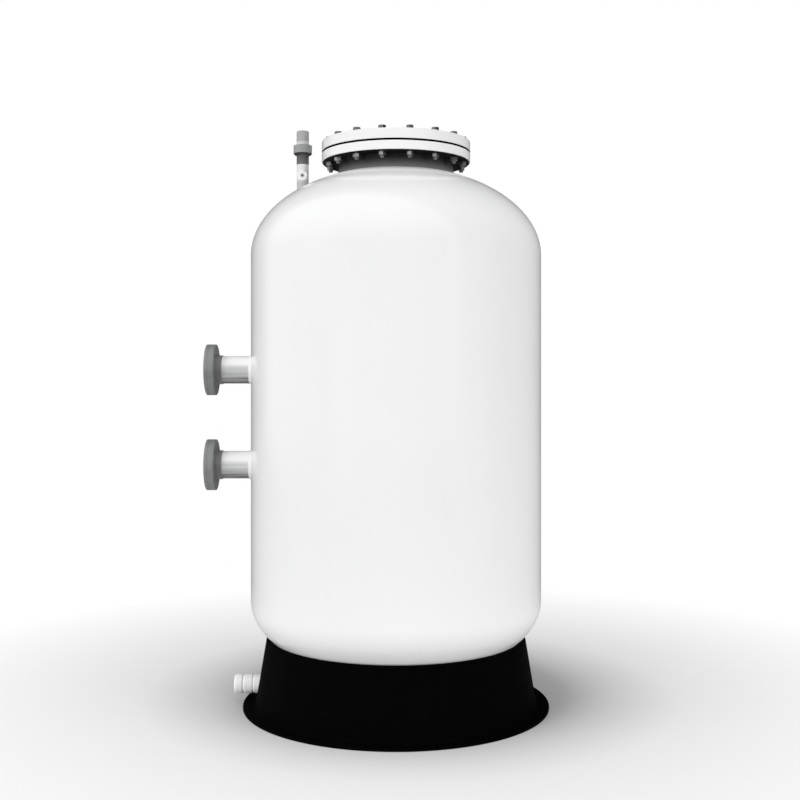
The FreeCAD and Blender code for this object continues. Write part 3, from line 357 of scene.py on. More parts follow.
skin_place = bench.add("ShaderNodeCombineXYZ", sockets={
    "X": radius * turn.cosine(), "Y": radius * turn.sine(), "Z": height})
skin = bench.add("GeometryNodeSetPosition", sockets={
    "Geometry": Strand(bench.tree, grid.outputs["Mesh"]), "Position": skin_place})
skin = bench.add("GeometryNodeMergeByDistance", sockets={"Geometry": skin, "Distance": 0.01 * MM})
skin = bench.add("GeometryNodeFlipFaces", sockets={"Mesh": skin})
close_tree(bench, given, skin)

tank = laid_up("tank_laminate", [(0, 0, 0)], [])
form(tank, bench.tree, {
    "Around": 193, "Along": 101, "Radius": tank_radius, "Dome seam": wall_high.z, "Dome rise": dome_rise,
    "Dish seam": wall_low.z, "Dish drop": dish_drop, "Neck": neck_opening, "Drain": drain_opening,
    "Material": white_gelcoat})
thickness = tank.modifiers.new("laminate", "SOLIDIFY")
thickness.thickness = laminate
thickness.offset = -1


def middle_of(node):
    """Middle of a CAD node's box."""
    low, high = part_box(node)
    return (low + high) / 2


pipe_radius = 50 * MM
vent_stem_radius = 15 * MM
fit = 0.3 * MM
sides = [(side, middle_of(side + "_flange_ring").z) for side in ("inlet", "outlet")]
vent_x = middle_of("union_nut").x
drill_from, drill_to = -0.8 * tank_radius, -1.2 * tank_radius
bored(
    tank,
    *[rod(side + "_hole", pipe_radius + fit, (drill_from, 0, height), (drill_to, 0, height))
      for side, height in sides],
    rod("vent_hole", vent_stem_radius + fit, (vent_x, 0, wall_high.z), (vent_x, 0, wall_high.z + dome_rise)),
)
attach(tank, "filter")
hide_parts("tank_wall", "tank_dome", "tank_dish")


def flare(name, height, root, tip_radius, rise):
    """Collar of laminate round a side connection, from the tank's wall up to the pipe."""
    around, steps = 96, 14
    sunk, edge = 0.4 * MM, 1.7 * MM
    end = tank_radius + rise
    vertices, faces = [], []
    for step in range(steps + 1):
        bend = step / steps * math.pi / 2
        reach = tip_radius + (root - tip_radius) * (1 - math.sin(bend))
        share = 1 - math.cos(bend)
        for cosine, sine in round_steps(around):
            y, z = reach * cosine, reach * sine
            start = math.sqrt(tank_radius ** 2 - y * y) - sunk
            vertices.append((-(start + (end - start) * share), y, height + z))
    for step in range(steps):
        for index in range(around):
            after = (index + 1) % around
            a, b = step * around + index, step * around + after
            faces.append((a, a + around, b + around, b))
    # the tip is closed by a ring inside, which runs back under the wall
    base = len(vertices)
    inner = tip_radius - edge
    for distance in (end, tank_radius - 0.5 * laminate):
        vertices += [(-distance, inner * cosine, height + inner * sine)
                     for cosine, sine in round_steps(around)]
    for index in range(around):
        after = (index + 1) % around
        tip, tip_after = steps * around + index, steps * around + after
        faces.append((tip, base + index, base + after, tip_after))
        faces.append((base + index, base + around + index, base + around + after, base + after))
        faces.append((base + around + index, index, after, base + around + after))
    return laid_up(name, vertices, faces, white_gelcoat)


flare_root, flare_tip, flare_rise = 58 * MM, 52 * MM, 8 * MM
for side, height in sides:
    collar = flare(side + "_flare", height, flare_root, flare_tip, flare_rise)
    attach(collar, "filter")


# Base skirt
# Black fibre moulding with a fine matt grain: a cone on a thin flared foot, its rounded top lip closing
# round the dish that stands in it.
def rounded(points, steps=6):
    """Section through (radius, height) or (radius, height, round) points, with arcs at the rounds."""
    section = []
    count = len(points)
    for index, point in enumerate(points):
        here = np.array(point[:2], float)
        if len(point) < 3:
            section.append(tuple(here))
            continue
        before = np.array(points[index - 1][:2], float) - here
        after = np.array(points[(index + 1) % count][:2], float) - here
        to_before, to_after = np.linalg.norm(before), np.linalg.norm(after)
        before, after = before / to_before, after / to_after
        half = math.acos(np.clip(before @ after, -1, 1)) / 2
        reach = point[2] / math.tan(half)
        middle = here + (before + after) / np.linalg.norm(before + after) * point[2] / math.sin(half)
        first, last = here + before * reach, here + after * reach
        start = math.atan2(*(first - middle)[::-1])
        sweep = (math.atan2(*(last - middle)[::-1]) - start + math.pi) % (2 * math.pi) - math.pi
        if reach * 1.4 < to_before:
            section.append(tuple(here + before * reach * 1.2))
        for step in range(steps + 1):
            angle = start + sweep * step / steps
            section.append((middle[0] + point[2] * math.cos(angle), middle[1] + point[2] * math.sin(angle)))
        if reach * 1.4 < to_after:
            section.append(tuple(here + after * reach * 1.2))
    return section


def turned(name, section, material, around=128, ends_meet=True, place=None):
    """Piece turned about the Z axis from a section, listed anticlockwise with the radius to the right."""
    vertices, faces, rings = [], [], []
    for radius, height in section:
        if radius < 1e-7:
            rings.append([len(vertices)] * around)
            vertices.append((0.0, 0.0, height))
            continue
        rings.append(list(range(len(vertices), len(vertices) + around)))
        vertices += [(radius * cosine, radius * sine, height) for cosine, sine in round_steps(around)]
    pairs = list(zip(rings, rings[1:]))
    if ends_meet:
        pairs.append((rings[-1], rings[0]))
    for low, high in pairs:
        if low[0] == low[1] and high[0] == high[1]:
            continue
        for index in range(around):
            after = (index + 1) % around
            corners = []
            for corner in (low[index], low[after], high[after], high[index]):
                if corner not in corners:
                    corners.append(corner)
            faces.append(corners)
    if place is not None:
        vertices = [place(*vertex) for vertex in vertices]
    return laid_up(name, vertices, faces, material)


def matt_moulding(name, dark, light, specular):
    """Matt moulded plastic with a fine leathery grain."""
    material, bench, shader, place = finish_of(name, Specular_IOR_Level=specular)
    bench.feed(shader, "Base Color", tint(bench, grain(bench, place, 30.0, 4.0), dark, light))
    bench.feed(shader, "Roughness", 0.72 + 0.16 * grain(bench, place, 14.0, 3.0))
    cells = bench.add("ShaderNodeTexVoronoi", {"feature": "SMOOTH_F1"},
                      {"Vector": place, "Scale": 420.0}, out="Distance")
    relief(bench, shader, [(cells, 0.00022), (grain(bench, place, 900.0), 0.00008)])
    return material


black_moulding = matt_moulding("black_moulding", grey(0.0006), grey(0.0014), 0.025)

skirt_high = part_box("base_skirt")[1]
foot_radius = skirt_high.x
foot_thick = 9.5 * MM
taper = math.tan(math.radians(9.47))
skirt_wall = 12 * MM
lip_width = 14 * MM
seat_depth = 14 * MM
haunch = 20 * MM
seat_inner = 430 * MM
lip_touch = 454 * MM


def dish_z(radius):
    return wall_low.z - dish_drop * math.sqrt(1 - (radius / tank_radius) ** 2)


def skirt_radius(height):
    return lip_touch + lip_width + (skirt_high.z - height) * taper


# the seat follows the dish, with a hair of adhesive between
seat = [(radius, dish_z(radius) - fit) for radius in np.linspace(lip_touch, seat_inner, 8)]
seat_z = dish_z(seat_inner) - seat_depth
haunch_z = seat_z - haunch
skirt_section = rounded([
    (skirt_radius(0) - skirt_wall, 0),
    (foot_radius, 0, 1 * MM),
    (foot_radius, foot_thick, 4 * MM),
    (skirt_radius(foot_thick), foot_thick, 12 * MM),
    (skirt_radius(skirt_high.z), skirt_high.z, 11 * MM),
    *seat,
    (seat_inner, seat_z),
    (skirt_radius(haunch_z) - skirt_wall, haunch_z),
], 8)
skirt = turned("moulded_skirt", skirt_section, black_moulding, 192)
drain_z = middle_of("drain_cap").z
drain_back_radius = 30 * MM
bored(skirt, rod("drain_hole", drain_back_radius + fit,
                 (-seat_inner, 0, drain_z), (-foot_radius, 0, drain_z)))
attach(skirt, "filter")
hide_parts("base_skirt")


# Manhole neck, flange, gasket and cover
# A dark laminate neck rises from the dome and carries a white flange with a black coated ring under it.
# A thick white cover is bolted down on a thin full-face rubber gasket.
black_coating = matt_moulding("black_coating", grey(0.004), grey(0.008), 0.15)
black_rubber = matt_moulding("rubber", grey(0.0004), grey(0.001), 0.01)

neck_radius = 210 * MM
neck_wall = 10 * MM


def dome_z(radius):
    return wall_high.z + dome_rise * math.sqrt(1 - (radius / tank_radius) ** 2)


neck_foot_z = dome_z(neck_radius)
# how far up the neck its foot is painted paler, as painted bounce light from the dome
bounce_reach = 38 * MM


def bare_laminate(name, dark, bounce_lit):
    """Rough dark laminate, painted paler towards its foot: painted bounce light from the white dome beside
    it.
    """
    material, bench, shader, place = finish_of(name, Specular_IOR_Level=0.15)
    above = (height_of(bench, place) - neck_foot_z) / bounce_reach
    weave = grain(bench, place, 160.0, 4.0)
    # paler towards the foot: painted bounce light from the dome
    painted_bounce = (1.0 - above + 0.12 * (weave - 0.5)).held().power(1.7)
    bench.feed(shader, "Base Color", tint(bench, painted_bounce, dark, bounce_lit))
    bench.feed(shader, "Roughness", 0.6 + 0.2 * weave)
    relief(bench, shader, [(weave, 0.0003)])
    return material


charcoal_laminate = bare_laminate("charcoal_laminate", (0.02, 0.02, 0.021, 1), (0.17, 0.17, 0.172, 1))
neck = turned("neck_laminate", rounded([
    (neck_radius - neck_wall, neck_low.z),
    (neck_radius - fit, neck_low.z),
    (neck_radius, neck_foot_z + 1 * MM),
    (neck_radius, neck_high.z),
    (neck_radius - neck_wall, neck_high.z),
]), charcoal_laminate, 160)
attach(neck, "filter")
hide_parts("manhole_neck")
sunk = 0.2 * MM
fillet_rise = 1.8 * MM
fillet_radius = neck_radius + 2.5 * MM
fillet = turned("neck_fillet", rounded([
    (neck_radius - sunk, neck_foot_z - 4 * MM),
    (fillet_radius, dome_z(fillet_radius) - 1 * MM),
    (fillet_radius, dome_z(fillet_radius) + 0.2 * MM),
    (neck_radius + 0.9 * MM, neck_foot_z + 0.4 * MM, 1.5 * MM),
    (neck_radius + 0.3 * MM, neck_foot_z + fillet_rise),
    (neck_radius - sunk, neck_foot_z + fillet_rise),
]), charcoal_laminate, 160)
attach(fillet, "filter")


def flat_ring(name, node, inner, material, low_round, high_round):
    """Flat turned ring or disc that stands for a CAD node."""
    low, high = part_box(node)
    outer = high.x
    ring = turned(name, rounded([
        (inner, low.z),
        (outer, low.z, low_round),
        (outer, high.z, high_round),
        (inner, high.z),
    ]), material, 160, ends_meet=inner > 0)
    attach(ring, "filter")
    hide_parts(node)


flat_ring("white_flange", "manhole_flange", neck_radius + fit, white_gelcoat,
          2.5 * MM, 2 * MM)
flat_ring("flange_underplate", "flange_backing_ring", neck_radius + 4 * MM, black_coating,
          0.8 * MM, 0.4 * MM)
flat_ring("flange_gasket", "manhole_gasket", neck_radius - neck_wall, black_rubber,
          0.6 * MM, 0.6 * MM)
flat_ring("white_cover", "manhole_cover", 0.0, white_gelcoat, 2 * MM, 3 * MM)


# Manhole bolts, washers and nuts
# Sixteen M16 hexagon bolts of stainless steel, each with a washer on the cover and a nut under the
# flange. They were turned and tightened by hand, so no two heads point the same way.
bolts_low, bolts_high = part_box("manhole_bolts")
washers_low, washers_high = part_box("manhole_washers")
nuts_low, nuts_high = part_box("manhole_nuts")


def turned_steel(name, dull, bright):
    """Stainless steel with fine turning marks. Above the washers' underside it is painted darker: painted
    shade on the washers and bolt heads.
    """
    material, bench, shader, place = finish_of(name, Metallic=1.0)
    shade_fade = 5 * MM
    # darker above the washers' underside, brighter below: painted shade on the heads and washers
    below = ((washers_low.z - height_of(bench, place)) / shade_fade).held()
    blur = grain(bench, place, 60.0, 3.0)
    bench.feed(shader, "Base Color", tint(bench, below * 0.8 + blur * 0.2, dull, bright))
    bench.feed(shader, "Roughness", 0.32 + 0.16 * grain(bench, place, 400.0, 4.0))
    relief(bench, shader, [(grain(bench, place, 1500.0), 0.00002)])
    return material


def points_on_circle(bench, given):
    """Evenly spaced points on a circle, the first of them at the first angle."""
    circle = bench.add("GeometryNodeMeshCircle", sockets={
        "Vertices": given["Count"], "Radius": given["Circle radius"]})
    twist = bench.add("ShaderNodeCombineXYZ", sockets={"Z": given["First angle"]})
    return bench.add("GeometryNodeTransform", sockets={"Geometry": circle, "Rotation": twist})


stainless_steel = turned_steel("stainless_steel", grey(0.2), (0.42, 0.42, 0.41, 1))

bench, given = form_tree("bolt_circle", ["Count", "Circle radius", "First angle", "Play", "Seed"])
circle = points_on_circle(bench, given)
loose = bench.add("FunctionNodeRandomValue", {"data_type": "FLOAT"},
                  {2: 0.0, 3: given["Play"], "Seed": given["Seed"]}, out=1)
index = bench.add("GeometryNodeInputIndex")
facing = given["First angle"] + index * (2 * math.pi) / given["Count"] + loose
twist = bench.add("ShaderNodeCombineXYZ", sockets={"Z": facing})
placed = bench.add("GeometryNodeInstanceOnPoints", sockets={
    "Points": circle, "Instance": given["Geometry"], "Rotation": twist})
close_tree(bench, given, placed)
bolt_circle = bench.tree


def lathe_grid(name, heights, radius_at, around):
    """Closed piece about the Z axis whose radius depends on the angle and the height."""
    vertices = []
    for height in heights:
        for index in range(around):
            angle = 2 * math.pi * index / around
            radius = radius_at(angle, height)
            vertices.append((radius * math.cos(angle), radius * math.sin(angle), height))
    return laid_up(name, vertices, closed_rows(len(heights), around))


def chamfered_hexagon(low, high, across_flats, both_ends):
    """Rows and radius of a hexagon whose corners are turned off to a cone on top or at both ends."""
    sixth = math.pi / 3
    corner = across_flats / 2 / math.cos(sixth / 2)
    turned_to = across_flats / 2 * 0.97
    steep = math.tan(math.radians(60))
    slope = (corner - turned_to) / steep

    def radius_at(angle, height):
        radius = across_flats / 2 / math.cos((angle + sixth / 2) % sixth - sixth / 2)
        if both_ends:
            radius = min(radius, turned_to + max(0, height - low) * steep)
        return min(radius, turned_to + max(0, high - height) * steep)

    rows = [low, high]
    for step in range(1, 5):
        rows.append(high - slope * step / 4)
        if both_ends:
            rows.append(low + slope * step / 4)
    return sorted(set(rows)), radius_at


def threaded(radius, pitch, depth):
    """Radius of a rod with a cut thread."""
    def radius_at(angle, height):
        phase = (height / pitch - angle / (2 * math.pi)) % 1.0
        return radius - depth * abs(2 * phase - 1)
    return radius_at


def joined(name, pieces, material, place=None):
    """Several loose pieces made into one mesh."""
    vertices, faces = [], []
    for piece in pieces:
        base = len(vertices)
        vertices += [tuple(v.co) for v in piece.data.vertices]
        faces += [tuple(base + v for v in face.vertices) for face in piece.data.polygons]
        bpy.data.objects.remove(piece)
    if place is not None:
        vertices = [place(*vertex) for vertex in vertices]
    return laid_up(name, vertices, faces, material)


bolt_radius = 8 * MM
bolt_point = 1.6 * MM
thread_pitch = 2 * MM
thread_depth = 1.1 * MM
flats = 24 * MM
washer_radius = 15 * MM
washer_hole = bolt_radius + 0.4 * MM
head_rows, head_radius = chamfered_hexagon(washers_high.z, bolts_high.z, flats, False)
head = lathe_grid("head", head_rows, head_radius, 72)
thread_rows = np.arange(bolts_low.z, nuts_low.z + 3 * MM, thread_pitch / 6)
cut_thread = threaded(bolt_radius, thread_pitch, thread_depth)


def pointed_thread(angle, height):
    return min(cut_thread(angle, height), bolt_radius - bolt_point + (height - bolts_low.z))


thread = lathe_grid("thread", thread_rows, pointed_thread, 36)
shank = lathe_grid("shank", [thread_rows[-1], washers_high.z], lambda angle, height: bolt_radius, 36)
bolt = joined("cover_bolts", [head, thread, shank], stainless_steel)

washer = turned("cover_washers", rounded([
    (washer_hole, washers_low.z),
    (washer_radius, washers_low.z),
    (washer_radius, washers_high.z, 0.5 * MM),
    (washer_hole, washers_high.z),
], 3), stainless_steel, 48)
nut_rows, nut_radius = chamfered_hexagon(nuts_low.z, nuts_high.z, flats, True)
nut = lathe_grid("cover_nuts", nut_rows, nut_radius, 72)

bolt_count = 16
bolt_circle_radius = 245 * MM
for piece, node, play in (
        (bolt, "manhole_bolts", 1.0), (washer, "manhole_washers", 0.0), (nut, "manhole_nuts", 1.0)):
    form(piece, bolt_circle, {
        "Count": bolt_count, "Circle radius": bolt_circle_radius, "First angle": math.pi / bolt_count,
        "Play": play, "Seed": len(node), "Material": stainless_steel})
    set_hard(piece)
    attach(piece, "filter")
    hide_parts(node)


# Side connections
# Each is a pale laminate pipe through the wall, with a grey moulded stub on its end. The stub's drilled
# face and the loose ring behind it make the flange.
def grey_mould(name, dark, light, rough=0.42, specular=0.4, painted_shading=None):
    """Satin moulded plastic with faint flow marks. A painted shading is its low and high limit and its
    colour, which takes over from the high limit down to the low one.
    """
    material, bench, shader, place = finish_of(name, Specular_IOR_Level=specular)
    flow = grain(bench, place, 18.0, 3.0)
    colour = tint(bench, flow, dark, light)
    # painted light or shade by height, where a painted shading is given
    if painted_shading is not None:
        low, high, shading_colour = painted_shading
        share = ((high - height_of(bench, place)) / (high - low)).held()
        colour = tint(bench, share, colour, shading_colour)
    bench.feed(shader, "Base Color", colour)
    bench.feed(shader, "Roughness", rough + 0.12 * grain(bench, place, 45.0, 4.0))
    relief(bench, shader, [(grain(bench, place, 700.0), 0.00005), (flow, 0.0002)])
    return material


grey_pvc = grey_mould("grey_pvc", (0.2, 0.202, 0.204, 1), (0.24, 0.242, 0.244, 1), 0.36, 0.8)


def shaded_pipe(name, axis):
    """Laminate pipe painted white on top and streaked grey below: painted light on top, painted shade on its
    lower side, and painted reflection bands in the streaks.
    """
    material, bench, shader, place = finish_of(name, Specular_IOR_Level=0.5)
    rise = (height_of(bench, place) - axis) / pipe_radius
    lengthwise = bench.add("ShaderNodeMapping", sockets={"Vector": place, "Scale": (3.0, 50.0, 130.0)},
                           out="Vector")
    streaks_and_bands = grain(bench, lengthwise, 1.0, 3.0)
    # lighter upwards, with streaks: painted shade on the lower side and painted reflection bands
    lit_share = (rise * 0.5 + 0.5 + 0.9 * (streaks_and_bands - 0.5)).held().power(0.6)
    shaded_base = tint(bench, lit_share, (0.12, 0.121, 0.123, 1), (0.9, 0.905, 0.91, 1))
    lit_edge, lit_fade = 0.2, 0.24        # in pipe radii above the axis
    # white over the top: painted light from above
    lit_top = ((rise - lit_edge + 0.16 * (streaks_and_bands - 0.5)) / lit_fade).held()
    bench.feed(shader, "Base Color", tint(bench, lit_top, shaded_base, grey(0.91)))
    bench.feed(shader, "Roughness", 0.14 + 0.14 * streaks_and_bands)
    relief(bench, shader, [(streaks_and_bands, 0.0003)])
    return material


bench, given = form_tree("drilled_flange", [
    "Count", "Circle radius", "Hole radius", "First angle", "Near", "Far", "Height"])
circle = points_on_circle(bench, given)
drill = bench.add("GeometryNodeMeshCylinder", sockets={
    "Vertices": 48, "Radius": given["Hole radius"], "Depth": given["Far"] - given["Near"]})
drills = bench.add("GeometryNodeInstanceOnPoints", sockets={"Points": circle, "Instance": drill})
middle = bench.add("ShaderNodeCombineXYZ", sockets={
    "X": (given["Near"] + given["Far"]) * -0.5, "Z": given["Height"]})
drills = bench.add("GeometryNodeRealizeInstances", sockets={"Geometry": drills})
drills = bench.add("GeometryNodeTransform", sockets={
    "Geometry": drills, "Rotation": (0.0, -math.pi / 2, 0.0), "Translation": middle})
drilled = bench.add("GeometryNodeMeshBoolean", {"operation": "DIFFERENCE", "solver": "EXACT"}, {
    "Mesh 1": given["Geometry"], "Mesh 2": drills})
close_tree(bench, given, drilled)
drilled_flange = bench.tree


def sideways(height):
    """Place that turns a piece made along +Z so that it points to -X at this height."""
    return lambda x, y, z: (-z, y, x + height)


pipe_bore = 38 * MM
pipe_start = tank_radius - 25 * MM
stub_radius = 52.5 * MM
flange_radius = 92.5 * MM
flange_holes = 4
hole_circle = 72.5 * MM
hole_radius = 9 * MM
drill_margin = 5 * MM
slight, soft = 1.2 * MM, 1.6 * MM       # rounds of the edges
for side, height in sides:
    pipe_end = -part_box(side + "_nozzle")[0].x
    stub_low, stub_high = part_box(side + "_stub")
    ring_low, ring_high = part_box(side + "_flange_ring")
    pipe = turned(side + "_pipe", rounded([
        (pipe_bore, pipe_start),
        (pipe_radius, pipe_start),
        (pipe_radius, pipe_end),
        (pipe_bore, pipe_end),
    ]), shaded_pipe(side + "_laminate", height), 96, place=sideways(height))
    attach(pipe, "filter")
    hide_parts(side + "_nozzle")
    stub = turned(side + "_face", rounded([
        (pipe_bore, -stub_high.x),
        (stub_radius, -stub_high.x, slight),
        (stub_radius, -ring_low.x),
        (flange_radius, -ring_low.x, slight),
        (flange_radius, -stub_low.x, soft),
        (pipe_bore, -stub_low.x, 1 * MM),
    ]), grey_pvc, place=sideways(height))
    ring = turned(side + "_ring", rounded([
        (stub_radius + fit, -ring_high.x),
        (flange_radius, -ring_high.x, soft),
        (flange_radius, -ring_low.x, soft),
        (stub_radius + fit, -ring_low.x),
    ]), grey_pvc, place=sideways(height))
    for piece, node in ((stub, side + "_stub"), (ring, side + "_flange_ring")):
        form(piece, drilled_flange, {
            "Count": flange_holes, "Circle radius": hole_circle, "Hole radius": hole_radius,
            "First angle": math.pi / flange_holes, "Near": -ring_high.x - drill_margin,
            "Far": -stub_low.x + drill_margin, "Height": height, "Material": grey_pvc})
        set_hard(piece)
        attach(piece, "filter")
        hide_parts(node)


# Vent on the dome
# Pale moulded body with a small dark bleed screw on a white boss at its front. Above it a grey union
# joins the air valve, held by a nut with a toothed foot, with a fluted cap on top.
vent_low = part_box("vent_body")[0]
bleed_z = middle_of("bleed_screw").z
boss_radius = 18 * MM
white_plastic = grey_mould("white_moulding", (0.89, 0.89, 0.885, 1), (0.92, 0.92, 0.915, 1), 0.3)
# darker towards its foot below the bleed boss: painted shadow of the boss
vent_plastic = grey_mould(
    "vent_moulding", (0.74, 0.742, 0.745, 1), (0.8, 0.802, 0.805, 1), 0.26, 0.5,
    painted_shading=(bleed_z - boss_radius - 6 * MM, bleed_z - boss_radius + 10 * MM, (0.48, 0.482, 0.485, 1)))
# near black, for the union nut's toothed foot: painted shade under the nut
dark_plastic = grey_mould("dark_plastic", grey(0.035), grey(0.05))
screw_plastic = grey_mould("screw_plastic", grey(0.19), grey(0.22))
light_ring = grey_mould("light_ring", (0.62, 0.62, 0.615, 1), (0.7, 0.7, 0.695, 1), 0.36)
nut_grey = grey_mould("nut_grey", (0.28, 0.282, 0.284, 1), (0.33, 0.332, 0.334, 1), 0.32, 0.9)
cap_grey = grey_mould("cap_grey", (0.35, 0.352, 0.354, 1), (0.42, 0.422, 0.424, 1), 0.32, 0.9)
union_low, union_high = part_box("union_lower_half")
vent_top = union_low.z
# near black under the union nut and paler towards its foot: painted shade cast by the nut
shaded_sleeve = grey_mould(
    "shaded_sleeve", grey(0.015), grey(0.025), 0.26, 1.0,
    painted_shading=(vent_top + 6 * MM, vent_top + 34 * MM, (0.09, 0.09, 0.091, 1)))

bench, given = form_tree("ribs_around", ["Count", "Depth", "Sharpness", "Low", "High", "Centre X", "Least"])
wide, deep, tall = parts_of(bench, bench.add("GeometryNodeInputPosition"))
across = wide - given["Centre X"]
radius = (across * across + deep * deep).power(0.5)
angle = across.maths("ARCTAN2", deep, across)
wave = ((angle * given["Count"]).cosine() * 0.5 + 0.5).power(given["Sharpness"])
ease = 2 * MM
inside = ((tall - given["Low"]) / ease).held() * ((given["High"] - tall) / ease).held()
cut = (wave * inside * given["Depth"]).at_most(radius - given["Least"]).at_least(0.0)
shrink = 1 - cut / radius
moved = bench.add("ShaderNodeCombineXYZ", sockets={
    "X": given["Centre X"] + across * shrink, "Y": deep * shrink, "Z": tall})
ribbed = bench.add("GeometryNodeSetPosition", sockets={"Geometry": given["Geometry"], "Position": moved})
close_tree(bench, given, ribbed)
ribs_around = bench.tree


def on_vent(x, y, z):
    return (x + vent_x, y, z)


# the body's lower edge follows the dome, and its upper edge is rounded
vent_radius = 21.5 * MM
edge_round = 1.5 * MM
steps, around = 4, 96
vertices = []
for share in (0.0, 0.15, 0.4, 1.0):
    for cosine, sine in round_steps(around):
        x, y = vent_x + vent_radius * cosine, vent_radius * sine
        low = dome_z(math.hypot(x, y)) - 0.5 * MM
        vertices.append((x, y, low + (vent_top - edge_round - low) * share))
for step in range(1, steps + 1):
    bend = step / steps * math.pi / 2
    radius = vent_radius - edge_round * (1 - math.cos(bend))
    height = vent_top - edge_round * (1 - math.sin(bend))
    vertices += [(vent_x + radius * cosine, radius * sine, height) for cosine, sine in round_steps(around)]
vent = laid_up("vent_moulding", vertices, closed_rows(len(vertices) // around, around), vent_plastic)
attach(vent, "filter")
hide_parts("vent_body")
vent_bore = 9 * MM
stem_top = dome_z(-vent_x) + 8 * MM
stem = turned("vent_stem", [
    (vent_bore, vent_low.z),
    (vent_stem_radius, vent_low.z),
    (vent_stem_radius, stem_top),
    (vent_bore, stem_top),
], white_plastic, 64, place=on_vent)
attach(stem, "filter")


def to_front(x, y, z):
    """Turns a piece made along +Z so that it points to -Y at the bleed screw."""
    return (vent_x + x, -z, bleed_z + y)


boss_front = -vent_low.y
boss_back = boss_front - 16 * MM
screw_well = 5.2 * MM
well_floor = boss_front - 0.8 * MM
boss = turned("bleed_boss", rounded([
    (0.0, boss_back),
    (boss_radius, boss_back),
    (boss_radius, boss_front, 1.8 * MM),
    (screw_well, boss_front, 0.3 * MM),
    (screw_well, well_floor),
    (0.0, well_floor),
]), white_plastic, 96, ends_meet=False, place=to_front)
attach(boss, "filter")

union_thread = threaded(27 * MM, 3 * MM, 1.3 * MM)
thread_start = vent_top + 42 * MM
rows = np.arange(thread_start, union_high.z + 0.01 * MM, 0.5 * MM)
union_cut = lathe_grid("union_cut", rows, union_thread, 72)
sleeve_radius = 22.25 * MM
shoulder_radius = 25.5 * MM
sleeve = turned("union_sleeve", rounded([
    (0.0, vent_top),
    (sleeve_radius, vent_top, 0.8 * MM),
    (sleeve_radius, thread_start - 9 * MM),
    (shoulder_radius, thread_start - 6 * MM, 1 * MM),
    (shoulder_radius, thread_start + 1 * MM),
    (0.0, thread_start + 1 * MM),
]), shaded_sleeve, 96, ends_meet=False)
lower = joined("union_sleeve", [union_cut, sleeve], shaded_sleeve, on_vent)
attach(lower, "filter")
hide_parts("union_lower_half")

nut_low, nut_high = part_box("union_nut")
nut_outside = 33.5 * MM
nut_bore = 27.05 * MM
nut_mouth = 22.8 * MM
nut_roof = nut_high.z - 3 * MM
grip_top = nut_low.z + 9.5 * MM
smooth_nut = turned("union_nut_ring", rounded([
    (nut_bore, grip_top),
    (nut_outside, grip_top, 0.8 * MM),
    (nut_outside, nut_high.z, 1.5 * MM),
    (nut_mouth, nut_high.z),
    (nut_mouth, nut_roof),
    (nut_bore, nut_roof),
]), nut_grey, place=on_vent)
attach(smooth_nut, "union_nut")
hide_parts("union_nut")
# the toothed foot is made near black: painted shade under the nut
grip_foot = grip_top - 5.8 * MM
grip_radius = nut_outside - 0.2 * MM
grip_end = grip_top + 0.1 * MM
tooth_root = 27.4 * MM
nut_grip = turned("union_nut_grip", rounded([
    (nut_bore, grip_foot),
    (29.2 * MM, grip_foot),
    (31.2 * MM, grip_foot + 2 * MM),
    (grip_radius, grip_top - 0.8 * MM),
    (grip_radius, grip_end),
    (nut_bore, grip_end),
]), dark_plastic, 288, place=on_vent)
form(nut_grip, ribs_around, {
    "Count": 24, "Depth": 2.6 * MM, "Sharpness": 0.8, "Low": grip_foot - 4 * MM, "High": grip_top + 2 * MM,
    "Centre X": vent_x, "Least": tooth_root, "Material": dark_plastic})
set_hard(nut_grip)
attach(nut_grip, "union_nut")

valve_low, valve_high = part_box("air_valve_body")
cap_low, cap_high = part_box("air_valve_cap")
collar_radius = 26.7 * MM
collar_top = valve_low.z + 4.9 * MM
valve_radius = 22.5 * MM
valve_spigot = 18 * MM
float_bore = 9 * MM
rib_root = 21 * MM
valve_base = turned("valve_base", rounded([
    (float_bore, valve_low.z),
    (collar_radius, valve_low.z),
    (collar_radius, collar_top),
    (valve_radius, collar_top),
    (valve_radius, collar_top + 2 * MM),
    (valve_radius, cap_low.z - 3 * MM),
    (valve_radius, cap_low.z, 0.6 * MM),
    (valve_spigot, cap_low.z),
    (valve_spigot, valve_high.z),
    (float_bore, valve_high.z),
]), light_ring, 240, place=on_vent)
form(valve_base, ribs_around, {
    "Count": 12, "Depth": 1.2 * MM, "Sharpness": 1.5, "Low": collar_top, "High": cap_low.z - 1 * MM,
    "Centre X": vent_x, "Least": rib_root, "Material": light_ring})
set_hard(valve_base)
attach(valve_base, "air_valve")
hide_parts("air_valve_body")
cap_bore = valve_spigot + 0.05 * MM
cap_roof = cap_high.z - 5 * MM
air_hole = 1.5 * MM
valve_cap = turned("valve_cap", rounded([
    (cap_bore, cap_low.z),
    (valve_radius, cap_low.z, 0.6 * MM),
    (valve_radius, cap_low.z + 8 * MM),
    (valve_radius, cap_low.z + 20 * MM),
    (valve_radius, cap_high.z - 0.8 * MM, 4.5 * MM),
    (8 * MM, cap_high.z),
    (air_hole, cap_high.z),
    (air_hole, cap_roof),
    (cap_bore, cap_roof),
]), cap_grey, 240, place=on_vent)
form(valve_cap, ribs_around, {
    "Count": 20, "Depth": 0.9 * MM, "Sharpness": 1.5, "Low": cap_low.z + 1 * MM, "High": cap_roof,
    "Centre X": vent_x, "Least": rib_root, "Material": cap_grey})
set_hard(valve_cap)
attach(valve_cap, "air_valve")
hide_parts("air_valve_cap")


